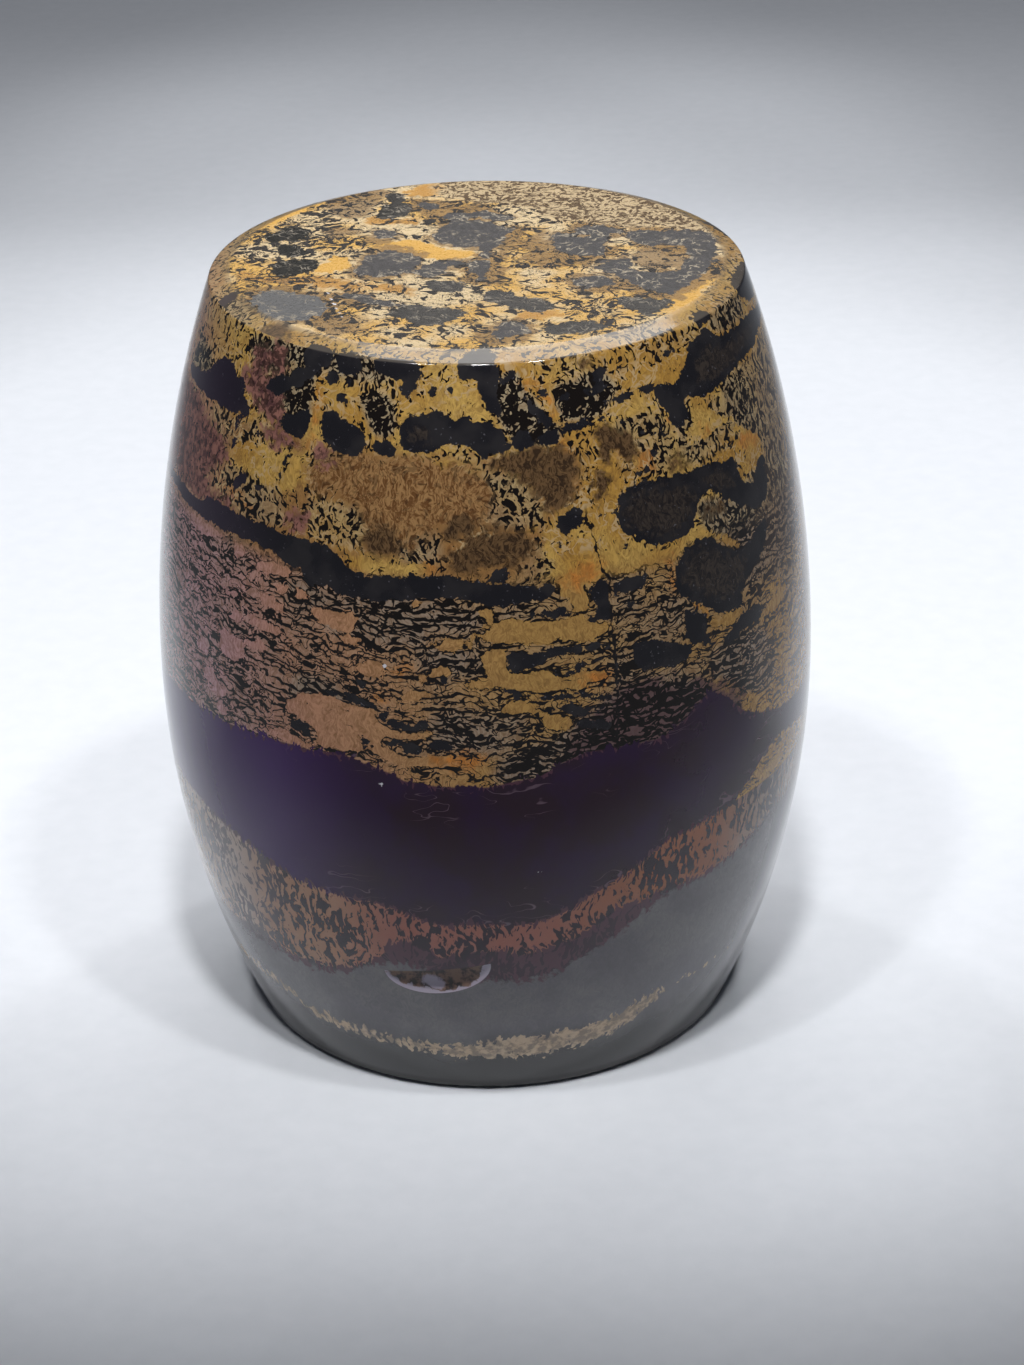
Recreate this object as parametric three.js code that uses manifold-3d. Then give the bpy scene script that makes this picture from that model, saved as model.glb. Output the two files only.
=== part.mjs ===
// A barrel bead of picture jasper, shaped and polished but not drilled, standing on its flat base.
// Millimetres, +Z up, with the origin at the centre of the base. -Y is the side with the small chip.
// The stone is one solid: a turned barrel with a rounded foot edge, a ground chamfer round its flat
// top, and one shallow chip low on the front.
import * as THREE from 'three';
import { mergeVertices } from 'three/addons/utils/BufferGeometryUtils.js';
import Module from 'manifold-3d';

// Driving dimensions of the barrel
const HEIGHT = 32.0;
const BELLY_RADIUS = 13.4;
const BELLY_HEIGHT = 15.14;
const BASE_RADIUS = 10.15;
const TOP_RADIUS = 10.48;
const FOOT_ROUND = 0.4;
const CHAMFER_WIDTH = 0.84;
const CHAMFER_HEIGHT = 0.28;

// Driving dimensions of the chip: a shell-shaped scar with a straight upper ledge
const CHIP_AZIMUTH = -10.5;
const CHIP_HEIGHT = 7.06;
const CHIP_TILT = 10.2;
const CHIP_HALF_LENGTH = 3.6;
const CHIP_DROP = 1.6;
const CHIP_BOWL = 0.8;
const CHIP_DEPTH = 0.36;

// Facets
const AROUND = 128;
const SIDE_STEPS = 14;
const FOOT_STEPS = 4;
const CHIP_AROUND = 28;
const CHIP_STEPS = 18;

// How far a circular arc of the given half chord and rise has fallen at a distance from its crown.
function arcDrop(distance, halfChord, rise) {
  const radius = (halfChord * halfChord + rise * rise) / (2 * rise);
  return radius - Math.sqrt(radius * radius - distance * distance);
}

// Radius of the barrel's side: one arc from the base to the belly, a flatter one up to the chamfer.
function sideRadius(height) {
  if (height < BELLY_HEIGHT) {
    return BELLY_RADIUS - arcDrop(BELLY_HEIGHT - height, BELLY_HEIGHT, BELLY_RADIUS - BASE_RADIUS);
  }
  const reach = HEIGHT - CHAMFER_HEIGHT - BELLY_HEIGHT;
  return BELLY_RADIUS - arcDrop(height - BELLY_HEIGHT, reach, BELLY_RADIUS - TOP_RADIUS);
}

// The outline from the centre of the base, round the foot, up the side and in over the top.
function barrelProfile() {
  const points = [new THREE.Vector2(0, 0)];
  const footCentre = sideRadius(FOOT_ROUND) - FOOT_ROUND;
  for (let step = 0; step < FOOT_STEPS; step += 1) {
    const turn = (Math.PI / 2) * (step / FOOT_STEPS);
    const out = footCentre + FOOT_ROUND * Math.sin(turn);
    points.push(new THREE.Vector2(out, FOOT_ROUND * (1 - Math.cos(turn))));
  }
  const stretches = [
    [FOOT_ROUND, BELLY_HEIGHT],
    [BELLY_HEIGHT, HEIGHT - CHAMFER_HEIGHT],
  ];
  for (const [from, to] of stretches) {
    for (let step = 0; step < SIDE_STEPS; step += 1) {
      const height = from + (to - from) * (step / SIDE_STEPS);
      points.push(new THREE.Vector2(sideRadius(height), height));
    }
  }
  points.push(new THREE.Vector2(TOP_RADIUS, HEIGHT - CHAMFER_HEIGHT));
  points.push(new THREE.Vector2(TOP_RADIUS - CHAMFER_WIDTH, HEIGHT));
  points.push(new THREE.Vector2(0, HEIGHT));
  return points;
}

function barrelBlank() {
  const blank = new THREE.LatheGeometry(barrelProfile(), AROUND);
  blank.rotateX(Math.PI / 2);
  return blank;
}

// Turns a shape whose X runs along the chip, -Y out of the stone and Z up into its place: tilted along
// the chip, leaning with the side's slope there, and turned round to its azimuth.
function placeChip(geometry) {
  const azimuth = THREE.MathUtils.degToRad(CHIP_AZIMUTH);
  const widening = sideRadius(CHIP_HEIGHT + CHIP_DROP) - sideRadius(CHIP_HEIGHT - CHIP_DROP);
  const slope = widening / (2 * CHIP_DROP);
  geometry.translate(0, CHIP_DEPTH - CHIP_BOWL, 0);
  geometry.rotateY(-THREE.MathUtils.degToRad(CHIP_TILT));
  geometry.rotateX(Math.atan(slope));
  geometry.translate(0, -sideRadius(CHIP_HEIGHT), CHIP_HEIGHT);
  geometry.rotateZ(azimuth);
  return geometry;
}

// The scar is the lower half of a flat ellipsoid: its bowl meets the side in a curved lip below.
function chipBowl() {
  const bowl = new THREE.SphereGeometry(1, CHIP_AROUND, CHIP_STEPS);
  bowl.scale(CHIP_HALF_LENGTH, CHIP_BOWL, CHIP_DROP);
  return placeChip(bowl);
}

function chipLedge() {
  const slab = new THREE.BoxGeometry(4 * CHIP_HALF_LENGTH, 4 * CHIP_BOWL, 2 * CHIP_DROP);
  slab.translate(0, 0, -CHIP_DROP);
  return placeChip(slab);
}

const wasm = await Module();
wasm.setup();

// A closed three.js geometry as a solid that can be cut.
function solid(geometry) {
  const bare = geometry.clone();
  bare.deleteAttribute('normal');
  bare.deleteAttribute('uv');
  const merged = mergeVertices(bare, 1e-5);
  const mesh = new wasm.Mesh({
    numProp: 3,
    vertProperties: new Float32Array(merged.attributes.position.array),
    triVerts: new Uint32Array(merged.index.array),
  });
  return new wasm.Manifold(mesh);
}

// A cut solid as a three.js geometry again.
function surface(cut) {
  const mesh = cut.getMesh();
  const geometry = new THREE.BufferGeometry();
  geometry.setAttribute('position', new THREE.BufferAttribute(mesh.vertProperties, mesh.numProp));
  geometry.setIndex(new THREE.BufferAttribute(mesh.triVerts, 1));
  geometry.computeVertexNormals();
  return geometry;
}

function barrelStone() {
  const chip = solid(chipBowl()).intersect(solid(chipLedge()));
  const shape = surface(solid(barrelBlank()).subtract(chip));
  const polishedJasper = new THREE.MeshStandardMaterial({
    color: 0x5a4227,
    roughness: 0.12,
    metalness: 0,
  });
  const mesh = new THREE.Mesh(shape, polishedJasper);
  mesh.name = 'barrel_stone';
  return mesh;
}

const bead = new THREE.Group();
bead.add(barrelStone());

export default bead;
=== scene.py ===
import math

import bmesh
import bpy
import numpy as np
from mathutils import Matrix, Vector


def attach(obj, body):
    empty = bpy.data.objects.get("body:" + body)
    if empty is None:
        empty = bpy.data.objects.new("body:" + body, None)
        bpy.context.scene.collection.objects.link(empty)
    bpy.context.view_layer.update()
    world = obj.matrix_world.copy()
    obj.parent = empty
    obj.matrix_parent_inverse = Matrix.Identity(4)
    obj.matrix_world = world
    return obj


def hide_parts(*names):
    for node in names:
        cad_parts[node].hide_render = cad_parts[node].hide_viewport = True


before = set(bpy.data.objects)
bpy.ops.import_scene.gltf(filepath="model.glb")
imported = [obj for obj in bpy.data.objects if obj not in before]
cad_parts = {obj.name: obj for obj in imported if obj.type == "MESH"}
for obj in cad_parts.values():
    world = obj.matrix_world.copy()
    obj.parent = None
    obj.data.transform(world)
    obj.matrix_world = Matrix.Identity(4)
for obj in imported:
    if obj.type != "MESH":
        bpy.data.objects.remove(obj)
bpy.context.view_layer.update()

# A barrel bead of polished picture jasper. The scene is in metres; sizes here are in millimetres
# and turned to metres by MM.
MM = 0.001

# The barrel, as the solid has it
HEIGHT = 32.0
BELLY_RADIUS = 13.4
BELLY_HEIGHT = 15.14
BASE_RADIUS = 10.15
TOP_RADIUS = 10.48
FOOT_ROUND = 0.4
CHAMFER_WIDTH = 0.84
CHAMFER_HEIGHT = 0.28
# A small round that breaks the chamfer's two edges
ARRIS_ROUND = 0.07

# The chip low on the front
CHIP_AZIMUTH = -10.5
CHIP_HEIGHT = 7.06
CHIP_TILT = 10.2
CHIP_HALF_LENGTH = 3.6
CHIP_DROP = 1.6
CHIP_BOWL = 0.8
CHIP_DEPTH = 0.36

# Mesh density, and the angle in degrees above which an edge is shaded sharp
AROUND = 384
SIDE_STEPS = 180
TOP_RINGS = 38
INNERMOST_RING = 0.5
UNDERSIDE_RINGS = (0, 0.6, 4.0, 7.5)
FOOT_STEPS = 5
CHAMFER_STEPS = 5
ARRIS_STEPS = 3
SHARP_ANGLE = 24


# The stone's shape

def arc_drop(distance, half_chord, rise):
    """How far an arc of that half chord and rise has fallen at a distance from its crown."""
    radius = (half_chord ** 2 + rise ** 2) / (2 * rise)
    return radius - math.sqrt(radius ** 2 - distance ** 2)


def side_radius(height):
    """The barrel's radius: one arc from the base to the belly and a flatter one up to the chamfer."""
    if height < BELLY_HEIGHT:
        return BELLY_RADIUS - arc_drop(BELLY_HEIGHT - height, BELLY_HEIGHT, BELLY_RADIUS - BASE_RADIUS)
    reach = HEIGHT - CHAMFER_HEIGHT - BELLY_HEIGHT
    return BELLY_RADIUS - arc_drop(height - BELLY_HEIGHT, reach, BELLY_RADIUS - TOP_RADIUS)


def rounded_corner(before, corner, after, cut, steps):
    """Points that take a corner of the outline off in a small curve."""
    a = corner + (before - corner).normalized() * cut
    b = corner + (after - corner).normalized() * cut
    points = []
    for step in range(steps + 1):
        t = step / steps
        points.append(a * (1 - t) ** 2 + corner * 2 * t * (1 - t) + b * t ** 2)
    return points


def barrel_outline():
    """The outline from the centre of the base, round the foot, up the side and in over the top."""
    centre = side_radius(FOOT_ROUND) - FOOT_ROUND
    points = [Vector((r, 0)) for r in (*UNDERSIDE_RINGS, centre)]
    for step in range(1, FOOT_STEPS):
        turn = math.pi / 2 * step / FOOT_STEPS
        points.append(Vector((centre + FOOT_ROUND * math.sin(turn), FOOT_ROUND * (1 - math.cos(turn)))))
    shoulder = HEIGHT - CHAMFER_HEIGHT
    for step in range(SIDE_STEPS):
        height = FOOT_ROUND + (shoulder - 2 * ARRIS_ROUND - FOOT_ROUND) * step / (SIDE_STEPS - 1)
        points.append(Vector((side_radius(height), height)))
    outer = Vector((TOP_RADIUS, shoulder))
    inner = Vector((TOP_RADIUS - CHAMFER_WIDTH, HEIGHT))
    below = Vector((side_radius(shoulder - 1), shoulder - 1))
    points += rounded_corner(below, outer, inner, ARRIS_ROUND, ARRIS_STEPS)
    for step in range(1, CHAMFER_STEPS):
        points.append(outer.lerp(inner, step / CHAMFER_STEPS))
    points += rounded_corner(outer, inner, Vector((0, HEIGHT)), ARRIS_ROUND, ARRIS_STEPS)
    rim = TOP_RADIUS - CHAMFER_WIDTH - ARRIS_ROUND
    for step in range(1, TOP_RINGS):
        points.append(Vector((rim + (INNERMOST_RING - rim) * step / (TOP_RINGS - 1), HEIGHT)))
    points.append(Vector((0, HEIGHT)))
    return points


def turned_barrel():
    """The barrel, spun from its outline."""
    shape = bmesh.new()
    rings = [shape.verts.new((p.x * MM, 0, p.y * MM)) for p in barrel_outline()]
    lines = [shape.edges.new(pair) for pair in zip(rings, rings[1:])]
    bmesh.ops.spin(shape, geom=rings + lines, cent=(0, 0, 0), axis=(0, 0, 1), dvec=(0, 0, 0),
                   angle=math.tau, steps=AROUND, use_merge=True, use_duplicate=False)
    bmesh.ops.remove_doubles(shape, verts=shape.verts, dist=0.001 * MM)
    bmesh.ops.recalc_face_normals(shape, faces=shape.faces)
    mesh = bpy.data.meshes.new("jasper_barrel")
    shape.to_mesh(mesh)
    shape.free()
    return mesh


def chip_cutter():
    """A flattened bowl with a straight upper ledge: what the blow took off the stone."""
    shape = bmesh.new()
    bmesh.ops.create_icosphere(shape, subdivisions=6, radius=1)
    bmesh.ops.bisect_plane(shape, geom=shape.verts[:] + shape.edges[:] + shape.faces[:], dist=1e-6,
                           plane_co=(0, 0, 0), plane_no=(0, 0, 1), clear_outer=True)
    bmesh.ops.holes_fill(shape, edges=[e for e in shape.edges if e.is_boundary])
    bmesh.ops.scale(shape, vec=(CHIP_HALF_LENGTH, CHIP_BOWL, CHIP_DROP), verts=shape.verts)
    slope = (side_radius(CHIP_HEIGHT + CHIP_DROP) - side_radius(CHIP_HEIGHT - CHIP_DROP)) / (2 * CHIP_DROP)
    place = (Matrix.Rotation(math.radians(CHIP_AZIMUTH), 4, "Z")
             @ Matrix.Translation((0, -side_radius(CHIP_HEIGHT), CHIP_HEIGHT))
             @ Matrix.Rotation(math.atan(slope), 4, "X")
             @ Matrix.Rotation(-math.radians(CHIP_TILT), 4, "Y")
             @ Matrix.Translation((0, CHIP_DEPTH - CHIP_BOWL, 0)))
    bmesh.ops.transform(shape, matrix=Matrix.Scale(MM, 4) @ place, verts=shape.verts)
    bmesh.ops.recalc_face_normals(shape, faces=shape.faces)
    mesh = bpy.data.meshes.new("chip_cutter")
    shape.to_mesh(mesh)
    shape.free()
    cutter = bpy.data.objects.new("chip_cutter", mesh)
    bpy.context.scene.collection.objects.link(cutter)
    return cutter


def cut_chip(stone):
    """Takes the chip out of the barrel and leaves the result as the stone's own mesh."""
    cutter = chip_cutter()
    cut = stone.modifiers.new("chip", "BOOLEAN")
    cut.operation = "DIFFERENCE"
    cut.solver = "EXACT"
    cut.object = cutter
    bpy.context.view_layer.update()
    whole = stone.data
    stone.data = bpy.data.meshes.new_from_object(stone.evaluated_get(bpy.context.evaluated_depsgraph_get()))
    stone.data.name = "jasper_barrel"
    stone.modifiers.clear()
    bpy.data.objects.remove(cutter)
    bpy.data.meshes.remove(whole)


stone = bpy.data.objects.new("jasper_barrel", turned_barrel())
bpy.context.scene.collection.objects.link(stone)
cut_chip(stone)
stone.data.shade_smooth()
stone.data.set_sharp_from_angle(angle=math.radians(SHARP_ANGLE))


# The stone's markings

# Every outline is read off the stone. On the side its points are degrees round from the
# front, to the right, and millimetres along the surface from the foot; over the chamfer and in from
# the rim the second number goes on past the top. On the top the points are x and y in millimetres.

OXIDE_SIDE = [
    # left end of the upper row of blots
    [(-79, 28.9), (-72, 29.1), (-66, 29.4), (-64, 30), (-62, 30.2), (-57, 30.27), (-56.3, 29.95),
     (-52.5, 29.85), (-51.5, 29.35), (-50, 29.1), (-49, 28.9), (-50, 28.6), (-58, 28.55), (-70, 28.5),
     (-78, 28.6)],
    [(-46, 30), (-44.5, 30.35), (-42, 30.5), (-39.5, 30.7), (-36.5, 31.2), (-33, 31.05), (-35.2, 30.7),
     (-37, 30.4), (-39.5, 30.25), (-40.5, 29.95), (-42.5, 29.8), (-45, 29.8)],
    [(-41, 29), (-40, 29.25), (-37.5, 29.35), (-36, 29.6), (-34.4, 29.65), (-33.6, 29.3), (-34, 28.8),
     (-36, 28.5), (-38.5, 28.6), (-40.7, 28.75)],
    [(-31.5, 29.3), (-31, 29.6), (-29.6, 29.78), (-28, 29.65), (-26, 29.5), (-23, 29.3), (-21.5, 28.95),
     (-21.2, 28.6), (-22.5, 28.4), (-25, 28.3), (-27.5, 28.35), (-29.7, 28.6), (-31.2, 28.8)],
    [(-20.4, 28.9), (-19, 28.97), (-16.8, 28.97), (-15.6, 28.7), (-16.2, 28.45), (-18, 28.35),
     (-19.6, 28.45), (-20.3, 28.6)],
    [(-15.4, 29.4), (-14.8, 29.75), (-13, 29.95), (-11, 29.95), (-9.5, 29.85), (-8.8, 30.2), (-7.4, 30.25),
     (-6.2, 29.85), (-4.5, 29.85), (-4, 30), (-2.8, 30), (-2, 29.8), (0, 29.75), (2, 29.7), (3.6, 29.45),
     (4.9, 29.1), (5.2, 28.7), (3, 28.65), (1.5, 28.6), (1.2, 28.25), (0.3, 28.3), (-0.6, 28.7),
     (-3, 28.85), (-5.5, 29), (-7, 28.95), (-9, 28.7), (-11.5, 28.65), (-14, 28.7), (-15.2, 28.8)],
    # small blots above it
    [(-28.6, 30.2), (-28, 30.45), (-26.3, 30.45), (-25.4, 30.2), (-26.6, 30.05), (-28.2, 30.1)],
    [(-31.8, 30.9), (-31.2, 31.05), (-29, 31.1), (-28.4, 30.85), (-29.4, 30.65), (-31, 30.6)],
    [(-27, 30.95), (-26.3, 31.05), (-25.6, 30.9), (-26, 30.72), (-26.9, 30.75)],
    [(-15.8, 30.95), (-14.5, 31.2), (-12.6, 31.15), (-12.4, 30.8), (-14, 30.6), (-15.6, 30.7)],
    [(-10.4, 30.65), (-9.6, 30.88), (-8.2, 30.92), (-8.2, 30.76), (-10, 30.57)],
    [(-6.6, 30.75), (-6, 30.93), (-4.8, 30.83), (-5.6, 30.66)],
    [(-2.7, 30.62), (-1.8, 30.62), (-1.6, 30.45), (-2.4, 30.48)],
    [(-2.7, 30.25), (-1.7, 30.2), (-2.1, 30.05)],
    [(-7.8, 30.47), (-6.8, 30.4), (-7.1, 30.27)],
    [(-11.1, 30.22), (-9.8, 30.17), (-10.5, 30.03)],
    [(-14.2, 30.5), (-12.6, 30.55), (-13, 30.4), (-14.6, 30.38)],
    # along the rim
    [(-38, 31.3), (-37, 31.9), (-34, 32.1), (-30.5, 31.8), (-30.5, 31.25), (-33, 31.1), (-36, 31.05)],
    [(-30, 31.3), (-29.5, 31.8), (-26.5, 31.85), (-24.2, 31.7), (-23.6, 31.4), (-24.6, 31.1), (-28, 31.1)],
    [(-21.7, 31.45), (-21, 31.85), (-16, 31.95), (-12, 31.8), (-11, 31.4), (-12, 31.1), (-14.5, 31.15),
     (-17, 31.15), (-20, 31.2)],
    [(-4.4, 31.72), (-3.6, 32.2), (-1.5, 32.65), (1.5, 32.6), (3.4, 32.3), (3.4, 31.72), (3.9, 31.45),
     (3.4, 31.1), (3.2, 30.5), (4.5, 30.2), (4.8, 29.6), (3.6, 29.95), (1.2, 30), (0.6, 30.4),
     (-0.2, 30.9), (-0.8, 31.2), (-2.8, 31.15), (-4.2, 31.4)],
    # the two mottled patches right of it have these solid parts
    [(3.6, 31), (5.3, 31.35), (7, 31.47), (7.4, 31.25), (6, 31.1), (4.6, 30.9)],
    [(5.3, 29.2), (7, 29.42), (8.8, 29.27), (9.9, 29), (8.5, 28.72), (6.4, 28.7), (5.2, 28.9)],
    [(10.2, 29.1), (13, 29.3), (15, 29.1), (14.4, 28.8), (11, 28.75)],
    [(8.4, 30.65), (10.5, 30.25), (12.6, 29.8), (14.4, 29.45), (15.2, 29.2), (13.8, 29.3), (11.5, 29.55),
     (9.2, 30.05)],
    [(14.6, 29.3), (17, 29.5), (20.5, 29.5), (24.4, 29.52), (24.6, 29.35), (21, 29.25), (16, 29.1)],
    [(22.4, 31), (23.8, 31.3), (25.4, 31.15), (25.4, 30.88), (23, 30.85)],
    [(20.5, 30.5), (24, 30.72), (26.8, 30.5), (24, 30.33), (21, 30.33)],
    [(15.3, 30.5), (17, 30.6), (17.5, 30.2), (15.6, 30.2)],
    [(26.5, 31.05), (28.7, 31.12), (28.8, 30.9), (26.6, 30.9)],
    [(10.8, 30.62), (11.8, 30.8), (13.2, 30.7), (13, 30.5), (11.2, 30.5)],
    [(24, 30.05), (28, 30.08), (32, 30.16), (35.5, 30.2), (37, 30.1), (36, 29.97), (32, 29.93), (28, 29.9),
     (24.4, 29.9)],
    [(36.5, 31.05), (40, 31.1), (43, 31.12), (44, 31.05), (41, 30.98), (37, 30.97)],
    # the branch that runs off to the right
    [(35, 29.9), (36.5, 30.15), (39, 30), (41, 29.95), (42.5, 30.2), (45, 30.45), (46.6, 31.1),
     (50, 31.25), (53, 31.35), (55, 31.1), (58, 30.75), (64, 30.7), (70, 30.75), (76, 30.6), (84, 30.3),
     (92, 30.2), (92, 29.8), (84, 29.75), (76, 29.8), (70, 29.55), (62, 29.55), (58, 29.35), (52, 29.15),
     (47, 29.1), (43.5, 29.35), (42.2, 29.25), (42.8, 28.7), (41, 28.42), (39, 28.45), (37.9, 28.7),
     (37.7, 29.1), (36.2, 29.4)],
    [(50.5, 31.8), (53, 32.1), (56.5, 31.9), (56, 31.5), (51, 31.4)],
    [(71, 31.5), (72, 32), (80, 32.2), (90, 31.8), (92, 31), (85, 30.7), (77, 30.85)],
    # dashes in the ochre
    [(27, 29.27), (28.4, 29.22), (28, 29.08), (27, 29.13)],
    [(29.2, 29.17), (31, 29.12), (30.8, 28.93), (29.4, 29)],
    [(32, 29.17), (33.2, 29.05), (32.9, 28.95), (32, 29.03)],
    [(34.4, 29.1), (35.5, 28.9), (36, 28.6), (35, 28.55), (34.4, 28.8)],
    [(30, 28.17), (31.4, 28.07), (30.3, 27.98)],
    [(32, 27.92), (34.6, 27.87), (33.9, 27.7), (32.4, 27.76)],
    [(30.4, 27.35), (31.7, 27.42), (31.6, 27), (30.2, 27.13), (28.2, 27.1), (28.4, 27.32), (30, 27.25)],
    [(34.4, 27.52), (35, 27.3), (34.3, 27.08), (33.7, 27.4)],
    [(24.6, 27.27), (26.4, 27.37), (26, 27.17)],
    [(25.2, 27.95), (25.9, 27.9), (25.9, 27.68), (25.2, 27.7)],
    [(30, 28.72), (32, 28.6), (35, 28.45), (38, 28.35), (36, 28.28), (32, 28.45)],
    # short wall of the middle
    [(12.6, 25.75), (13.2, 26.15), (14.8, 26.32), (16.2, 26.47), (17.6, 26.42), (18.1, 26.1), (17.9, 25.75),
     (16.5, 25.7), (14.5, 25.5), (13.2, 25.6)],
    [(12.3, 25.55), (12.9, 25.35), (13.3, 25.05), (12.9, 25.03), (12.2, 25.3)],
    # the wide blot on the right and its dark tail
    [(24.3, 25.95), (24.6, 26.4), (25.6, 26.7), (28, 26.92), (31, 26.87), (34, 26.8), (37, 26.75),
     (41, 26.75), (45, 26.75), (47, 26.6), (49.5, 26.5), (52, 26.6), (53.5, 26), (53, 25.5), (55, 25.3),
     (57, 25.1), (58.5, 25.6), (61, 25.9), (63, 25.8), (62, 25.2), (62.5, 24.6), (60, 24.2), (57, 24.1),
     (54, 24.4), (52.2, 24.6), (50, 25), (48, 25.1), (46.5, 25.5), (44, 25.8), (42, 25.6), (41, 25.4),
     (40.2, 25.1), (39.7, 24.7), (37.5, 24.45), (34.5, 24.35), (32, 24.45), (30, 24.55), (28, 24.75),
     (26.3, 25), (24.8, 25.2), (24.2, 25.5)],
    [(22.7, 26.03), (23.5, 26.17), (24.5, 26.22), (24.5, 26.05), (23.2, 25.92)],
    [(20.5, 26.05), (21.5, 26.07), (21.4, 25.91), (20.7, 25.93)],
    [(20.3, 25.47), (21.3, 25.47), (21, 25.35)],
    [(23.7, 24.7), (26, 24.77), (25.4, 24.56), (24, 24.58)],
    [(34.3, 23.4), (35, 23.65), (36.5, 23.9), (38.5, 24.1), (40.5, 24.15), (43, 24), (44.5, 23.7),
     (46.5, 23.4), (48.5, 23.1), (52, 23), (55, 23.3), (58, 23.6), (60, 23.3), (58, 22.6), (56, 22.3),
     (53.5, 22.1), (51, 21.8), (50, 21.5), (48.5, 21.2), (50, 20.9), (47, 20.85), (44, 20.9), (42.4, 21.1),
     (41, 21.4), (39.5, 21.55), (38.4, 21.8), (37, 21.87), (36, 22.1), (35, 22.2), (34.4, 22.6)],
    [(35.2, 21.8), (37.5, 21.5), (39, 21.35), (39.8, 21.1), (39.9, 20.5), (40.4, 20), (42, 19.87),
     (45, 19.97), (47, 20.3), (49, 20.6), (51, 20.5), (53.5, 20.6), (55, 20.3), (54.5, 19.9), (52, 19.75),
     (50, 19.9), (48, 19.7), (46, 19.5), (43, 19.75), (40, 19.87), (37.8, 20.07), (36.6, 20.3),
     (35.5, 20.5), (35.1, 21)],
    # the flat oval and the two tongues left of it
    [(24.8, 20.6), (25.3, 20.9), (27, 20.97), (29, 20.82), (31.5, 20.67), (33.5, 20.52), (35.2, 20.32),
     (36.4, 19.97), (35.8, 19.68), (33, 19.57), (30, 19.6), (27.5, 19.73), (25.8, 19.93), (24.8, 20.2)],
    [(3.2, 20.9), (3.3, 21.17), (4.2, 21.3), (5.5, 21.22), (7.5, 21.12), (9, 21.17), (11, 21.27),
     (13.5, 21.3), (16, 21.22), (18.5, 21.27), (20, 21.17), (22, 21.12), (22, 20.97), (20, 21), (17, 21),
     (15.5, 21.08), (14, 20.93), (12, 21), (10, 20.83), (8.5, 20.7), (7, 20.6), (5.2, 20.48), (4, 20.48),
     (3.3, 20.62)],
    [(11, 20.47), (11.7, 20.25), (12.8, 20.24), (14, 20.43), (15.5, 20.55), (17, 20.6), (19.6, 20.62),
     (19.5, 20.5), (17, 20.44), (15.5, 20.33), (14, 20.2), (12.5, 20.1), (11.1, 20.2)],
    [(8.4, 19.33), (9.5, 19.47), (11, 19.42), (13, 19.42), (15, 19.47), (16, 19.42), (17, 19.22),
     (18.5, 19.1), (22, 19.02), (22, 18.92), (18, 18.98), (16.5, 19.08), (15.4, 19.27), (13, 19.27),
     (10.5, 19.24), (9, 19.22)],
    [(9.8, 18.83), (12, 18.97), (13.5, 19.12), (14.5, 18.97), (15.5, 18.77), (17.5, 18.72), (19, 18.77),
     (19.4, 18.58), (17, 18.48), (15, 18.48), (13.5, 18.58), (12, 18.78)],
    [(14, 18.22), (15.5, 18.37), (17, 18.22), (19, 18.12), (20.5, 17.92), (20, 17.6), (17, 17.9),
     (15.5, 18)],
    # right of the fault, under the river
    [(17.3, 23.55), (18, 23.35), (18.8, 23.5), (20.3, 23.72), (20.8, 23.6), (21.2, 23.3), (21.3, 22.3),
     (21.5, 21.97), (19.5, 22.1), (17.2, 22.1), (17, 22.3), (18.6, 22.3), (19, 22.6), (18.4, 22.9),
     (17.8, 23.2)],
    [(21.6, 23.25), (22.5, 23.45), (24.2, 23.52), (26, 23.47), (28.4, 23.47), (29, 23.35), (28, 23.15),
     (27.8, 22.93), (26, 23), (23.4, 22.93), (22.3, 22.88)],
    [(23.7, 22.57), (26.1, 22.57), (25.6, 22.38), (24.2, 22.38)],
    [(7, 22.7), (9, 22.77), (12, 22.72), (13.5, 22.92), (13.8, 22.6), (14.6, 22.5), (12.5, 22.4),
     (10, 22.5), (7.3, 22.48)],
    [(0.4, 24.15), (1.2, 24.35), (2.5, 24.5), (3.8, 24.46), (4.8, 24.2), (4.4, 24), (2.5, 23.98),
     (1, 24)],
    [(21.4, 20.7), (22.2, 20.7), (22.3, 19.3), (21.6, 19.3)],
    # wisps in the banded ground
    [(-28.5, 19.17), (-27, 19.3), (-24, 19.33), (-21.5, 19.26), (-20, 19.03), (-18, 19.02), (-17.8, 18.87),
     (-21, 18.85), (-23.5, 18.95), (-25.5, 19.1), (-28, 19.08)],
    [(-18.3, 18.5), (-17.2, 18.87), (-16, 19.02), (-15.2, 19.07), (-16.6, 18.72), (-16.2, 18.5),
     (-14, 18.38), (-11, 18.27), (-11.5, 18.08), (-14, 18.1), (-16.5, 18.13), (-17.5, 18.3)],
    [(-12.5, 18.47), (-10.5, 18.47), (-8.8, 18.36), (-10, 18.23), (-12, 18.28)],
    [(-34.9, 17.45), (-33.7, 17.75), (-32, 17.72), (-31, 17.78), (-30.6, 17.42), (-29.1, 17.15),
     (-30.5, 17.03), (-32, 17.2), (-33.7, 17.28)],
    [(-17, 17.4), (-16.2, 17.65), (-14.5, 17.62), (-12.2, 17.62), (-11.8, 17.47), (-10.6, 17.42),
     (-10.7, 17.13), (-13.2, 17.03), (-14, 17.3), (-15, 17.47), (-16.4, 17.28)],
    [(-10, 17.5), (-8.5, 17.77), (-6, 17.62), (-5.3, 17.4), (-7, 17.28), (-9, 17.38)],
    [(-22.8, 19.85), (-21.5, 19.95), (-19.8, 19.8), (-19.4, 19.35), (-20.3, 19.5), (-21.5, 19.72)],
    [(-7.6, 20.2), (-6.8, 20.32), (-5.8, 20.2), (-6.2, 20.05), (-7.4, 20.07)],
    [(2.6, 19.85), (3.6, 19.75), (5, 19.68), (5.6, 19.6), (5, 19.35), (4, 19.4), (4.6, 19.55), (3, 19.68)],
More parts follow.
